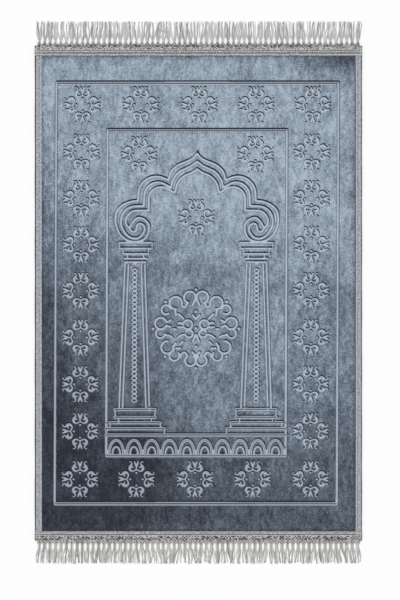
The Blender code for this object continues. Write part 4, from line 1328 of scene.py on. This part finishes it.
class RUG_OT_fringes(bpy.types.Operator):
    """Build the tassels at both ends"""

    bl_idname = "rug.fringes"
    bl_label = "Fringes"

    def execute(self, context):
        settings = context.scene.rug_fringe
        shade_and_darkening = context.scene.rug_tape.shade_and_darkening_colour
        for name, end, tip, seed, colour, shape in (
            ("head", HEAD_END, HEAD_HIGH.y, 11, settings.head_colour, HEAD_TASSEL),
            ("foot", FOOT_END, FOOT_LOW.y, 29, settings.foot_colour, FOOT_TASSEL),
        ):
            finish = yarn_material(f"{name}_fringe_yarn", colour, shade_and_darkening, 260.0)
            paths, radius, dust = tassel_yarns(end, tip, settings.tassels, settings.yarns, seed, shape)
            skins = yarns(paths, radius * settings.radius)
            dust = np.repeat(dust.ravel(), YARN_SIDES)
            fitted(f"{name}_tassels", skins, finish, "fringe_yarn", f"fringe_{name}", dust)
        return {"FINISHED"}


class RUG_OT_stitching(bpy.types.Operator):
    """Sew the rows of stitches along the tapes"""

    bl_idname = "rug.stitching"
    bl_label = "Stitching"

    def execute(self, context):
        settings = context.scene.rug_tape
        finish = yarn_material("sewing_thread", settings.thread_colour, settings.shade_and_darkening_colour, 700.0)
        for name, side in (("left", -1), ("right", 1)):
            across = side * (BODY_HALF - SEAM_IN)
            row = stitch_row((across, FOOT_SEAM), (across, HEAD_SEAM), SEAM_HEIGHT, settings.stitch_pitch,
                             SEAM_SLANT)
            skins = yarns(row, THREAD_RADIUS)
            fitted(f"side_stitches_{name}", skins, finish, "woven_tape", f"binding_{name}")
        return {"FINISHED"}


class RUG_OT_stage(bpy.types.Operator):
    """Lay the floor and set up the light and the camera"""

    bl_idname = "rug.stage"
    bl_label = "Stage"

    def execute(self, context):
        settings = context.scene.rug_stage
        scene = context.scene
        corners = FLOOR_HALF * np.array([(-1, -1, 0), (1, -1, 0), (1, 1, 0), (-1, 1, 0)])
        finish = floor_material(settings.floor_colour)
        floor = mesh_piece("floor", corners, [np.array([[0, 1, 2, 3]])], finish)
        world = bpy.data.worlds.new("studio")
        world.use_nodes = True
        sky = world.node_tree.nodes["Background"]
        sky.inputs["Color"].default_value = (1.0, 1.0, 1.0, 1.0)
        sky.inputs["Strength"].default_value = settings.sky
        scene.world = world
        light = bpy.data.lights.new("window", "SUN")
        light.energy = settings.sun
        light.angle = SUN_SPREAD
        lamp = bpy.data.objects.new("window", light)
        lamp.rotation_euler = (-(math.pi / 2 - settings.sun_height), 0.0, SUN_TURN)
        camera = bpy.data.cameras.new("camera")
        camera.lens = LENS
        camera.sensor_width = SENSOR_WIDTH
        eye = bpy.data.objects.new("camera", camera)
        eye.location = (*EYE_OVER, settings.camera_height)
        for thing in (lamp, eye):
            scene.collection.objects.link(thing)
        scene.camera = eye
        scene.view_settings.view_transform = "Standard"
        scene.view_settings.look = "None"
        return {"FINISHED"}


class RUG_OT_declare_cloth(bpy.types.Operator):
    bl_idname = "rug.declare_cloth"
    bl_label = "Declare cloth"

    def execute(self, context):
        return {"FINISHED"}


class RUG_PT_pieces(bpy.types.Panel):
    """Lists the rug's pieces"""

    bl_label = "Prayer rug"
    bl_idname = "RUG_PT_pieces"
    bl_space_type = "VIEW_3D"
    bl_region_type = "UI"
    bl_category = "Rug"

    def draw(self, context):
        for operator in OPERATORS:
            self.layout.operator(operator.bl_idname)
        for name in SETTINGS:
            column = self.layout.column()
            group = getattr(context.scene, name)
            for key in type(group).__annotations__:
                column.prop(group, key)


OPERATORS = (
    RUG_OT_stage, RUG_OT_velvet_panel, RUG_OT_side_tapes, RUG_OT_end_tapes, RUG_OT_fringes,
    RUG_OT_stitching, RUG_OT_declare_cloth,
)
SETTINGS = {
    "rug_velvet": RugVelvetSettings,
    "rug_tape": RugTapeSettings,
    "rug_fringe": RugFringeSettings,
    "rug_stage": RugStageSettings,
}


def register():
    """Registers the settings, operators and panel."""
    for name, group in SETTINGS.items():
        bpy.utils.register_class(group)
        setattr(bpy.types.Scene, name, PointerProperty(type=group))
    for operator in OPERATORS:
        bpy.utils.register_class(operator)
    bpy.utils.register_class(RUG_PT_pieces)


def unregister():
    """Takes them all out again."""
    bpy.utils.unregister_class(RUG_PT_pieces)
    for operator in reversed(OPERATORS):
        bpy.utils.unregister_class(operator)
    for name, group in SETTINGS.items():
        delattr(bpy.types.Scene, name)
        bpy.utils.unregister_class(group)


def main():
    """Builds every piece."""
    register()
    bpy.ops.rug.stage()
    bpy.ops.rug.velvet_panel()
    bpy.ops.rug.side_tapes()
    bpy.ops.rug.end_tapes()
    bpy.ops.rug.fringes()
    bpy.ops.rug.stitching()
    bpy.ops.rug.declare_cloth()


if __name__ == "__main__":
    main()
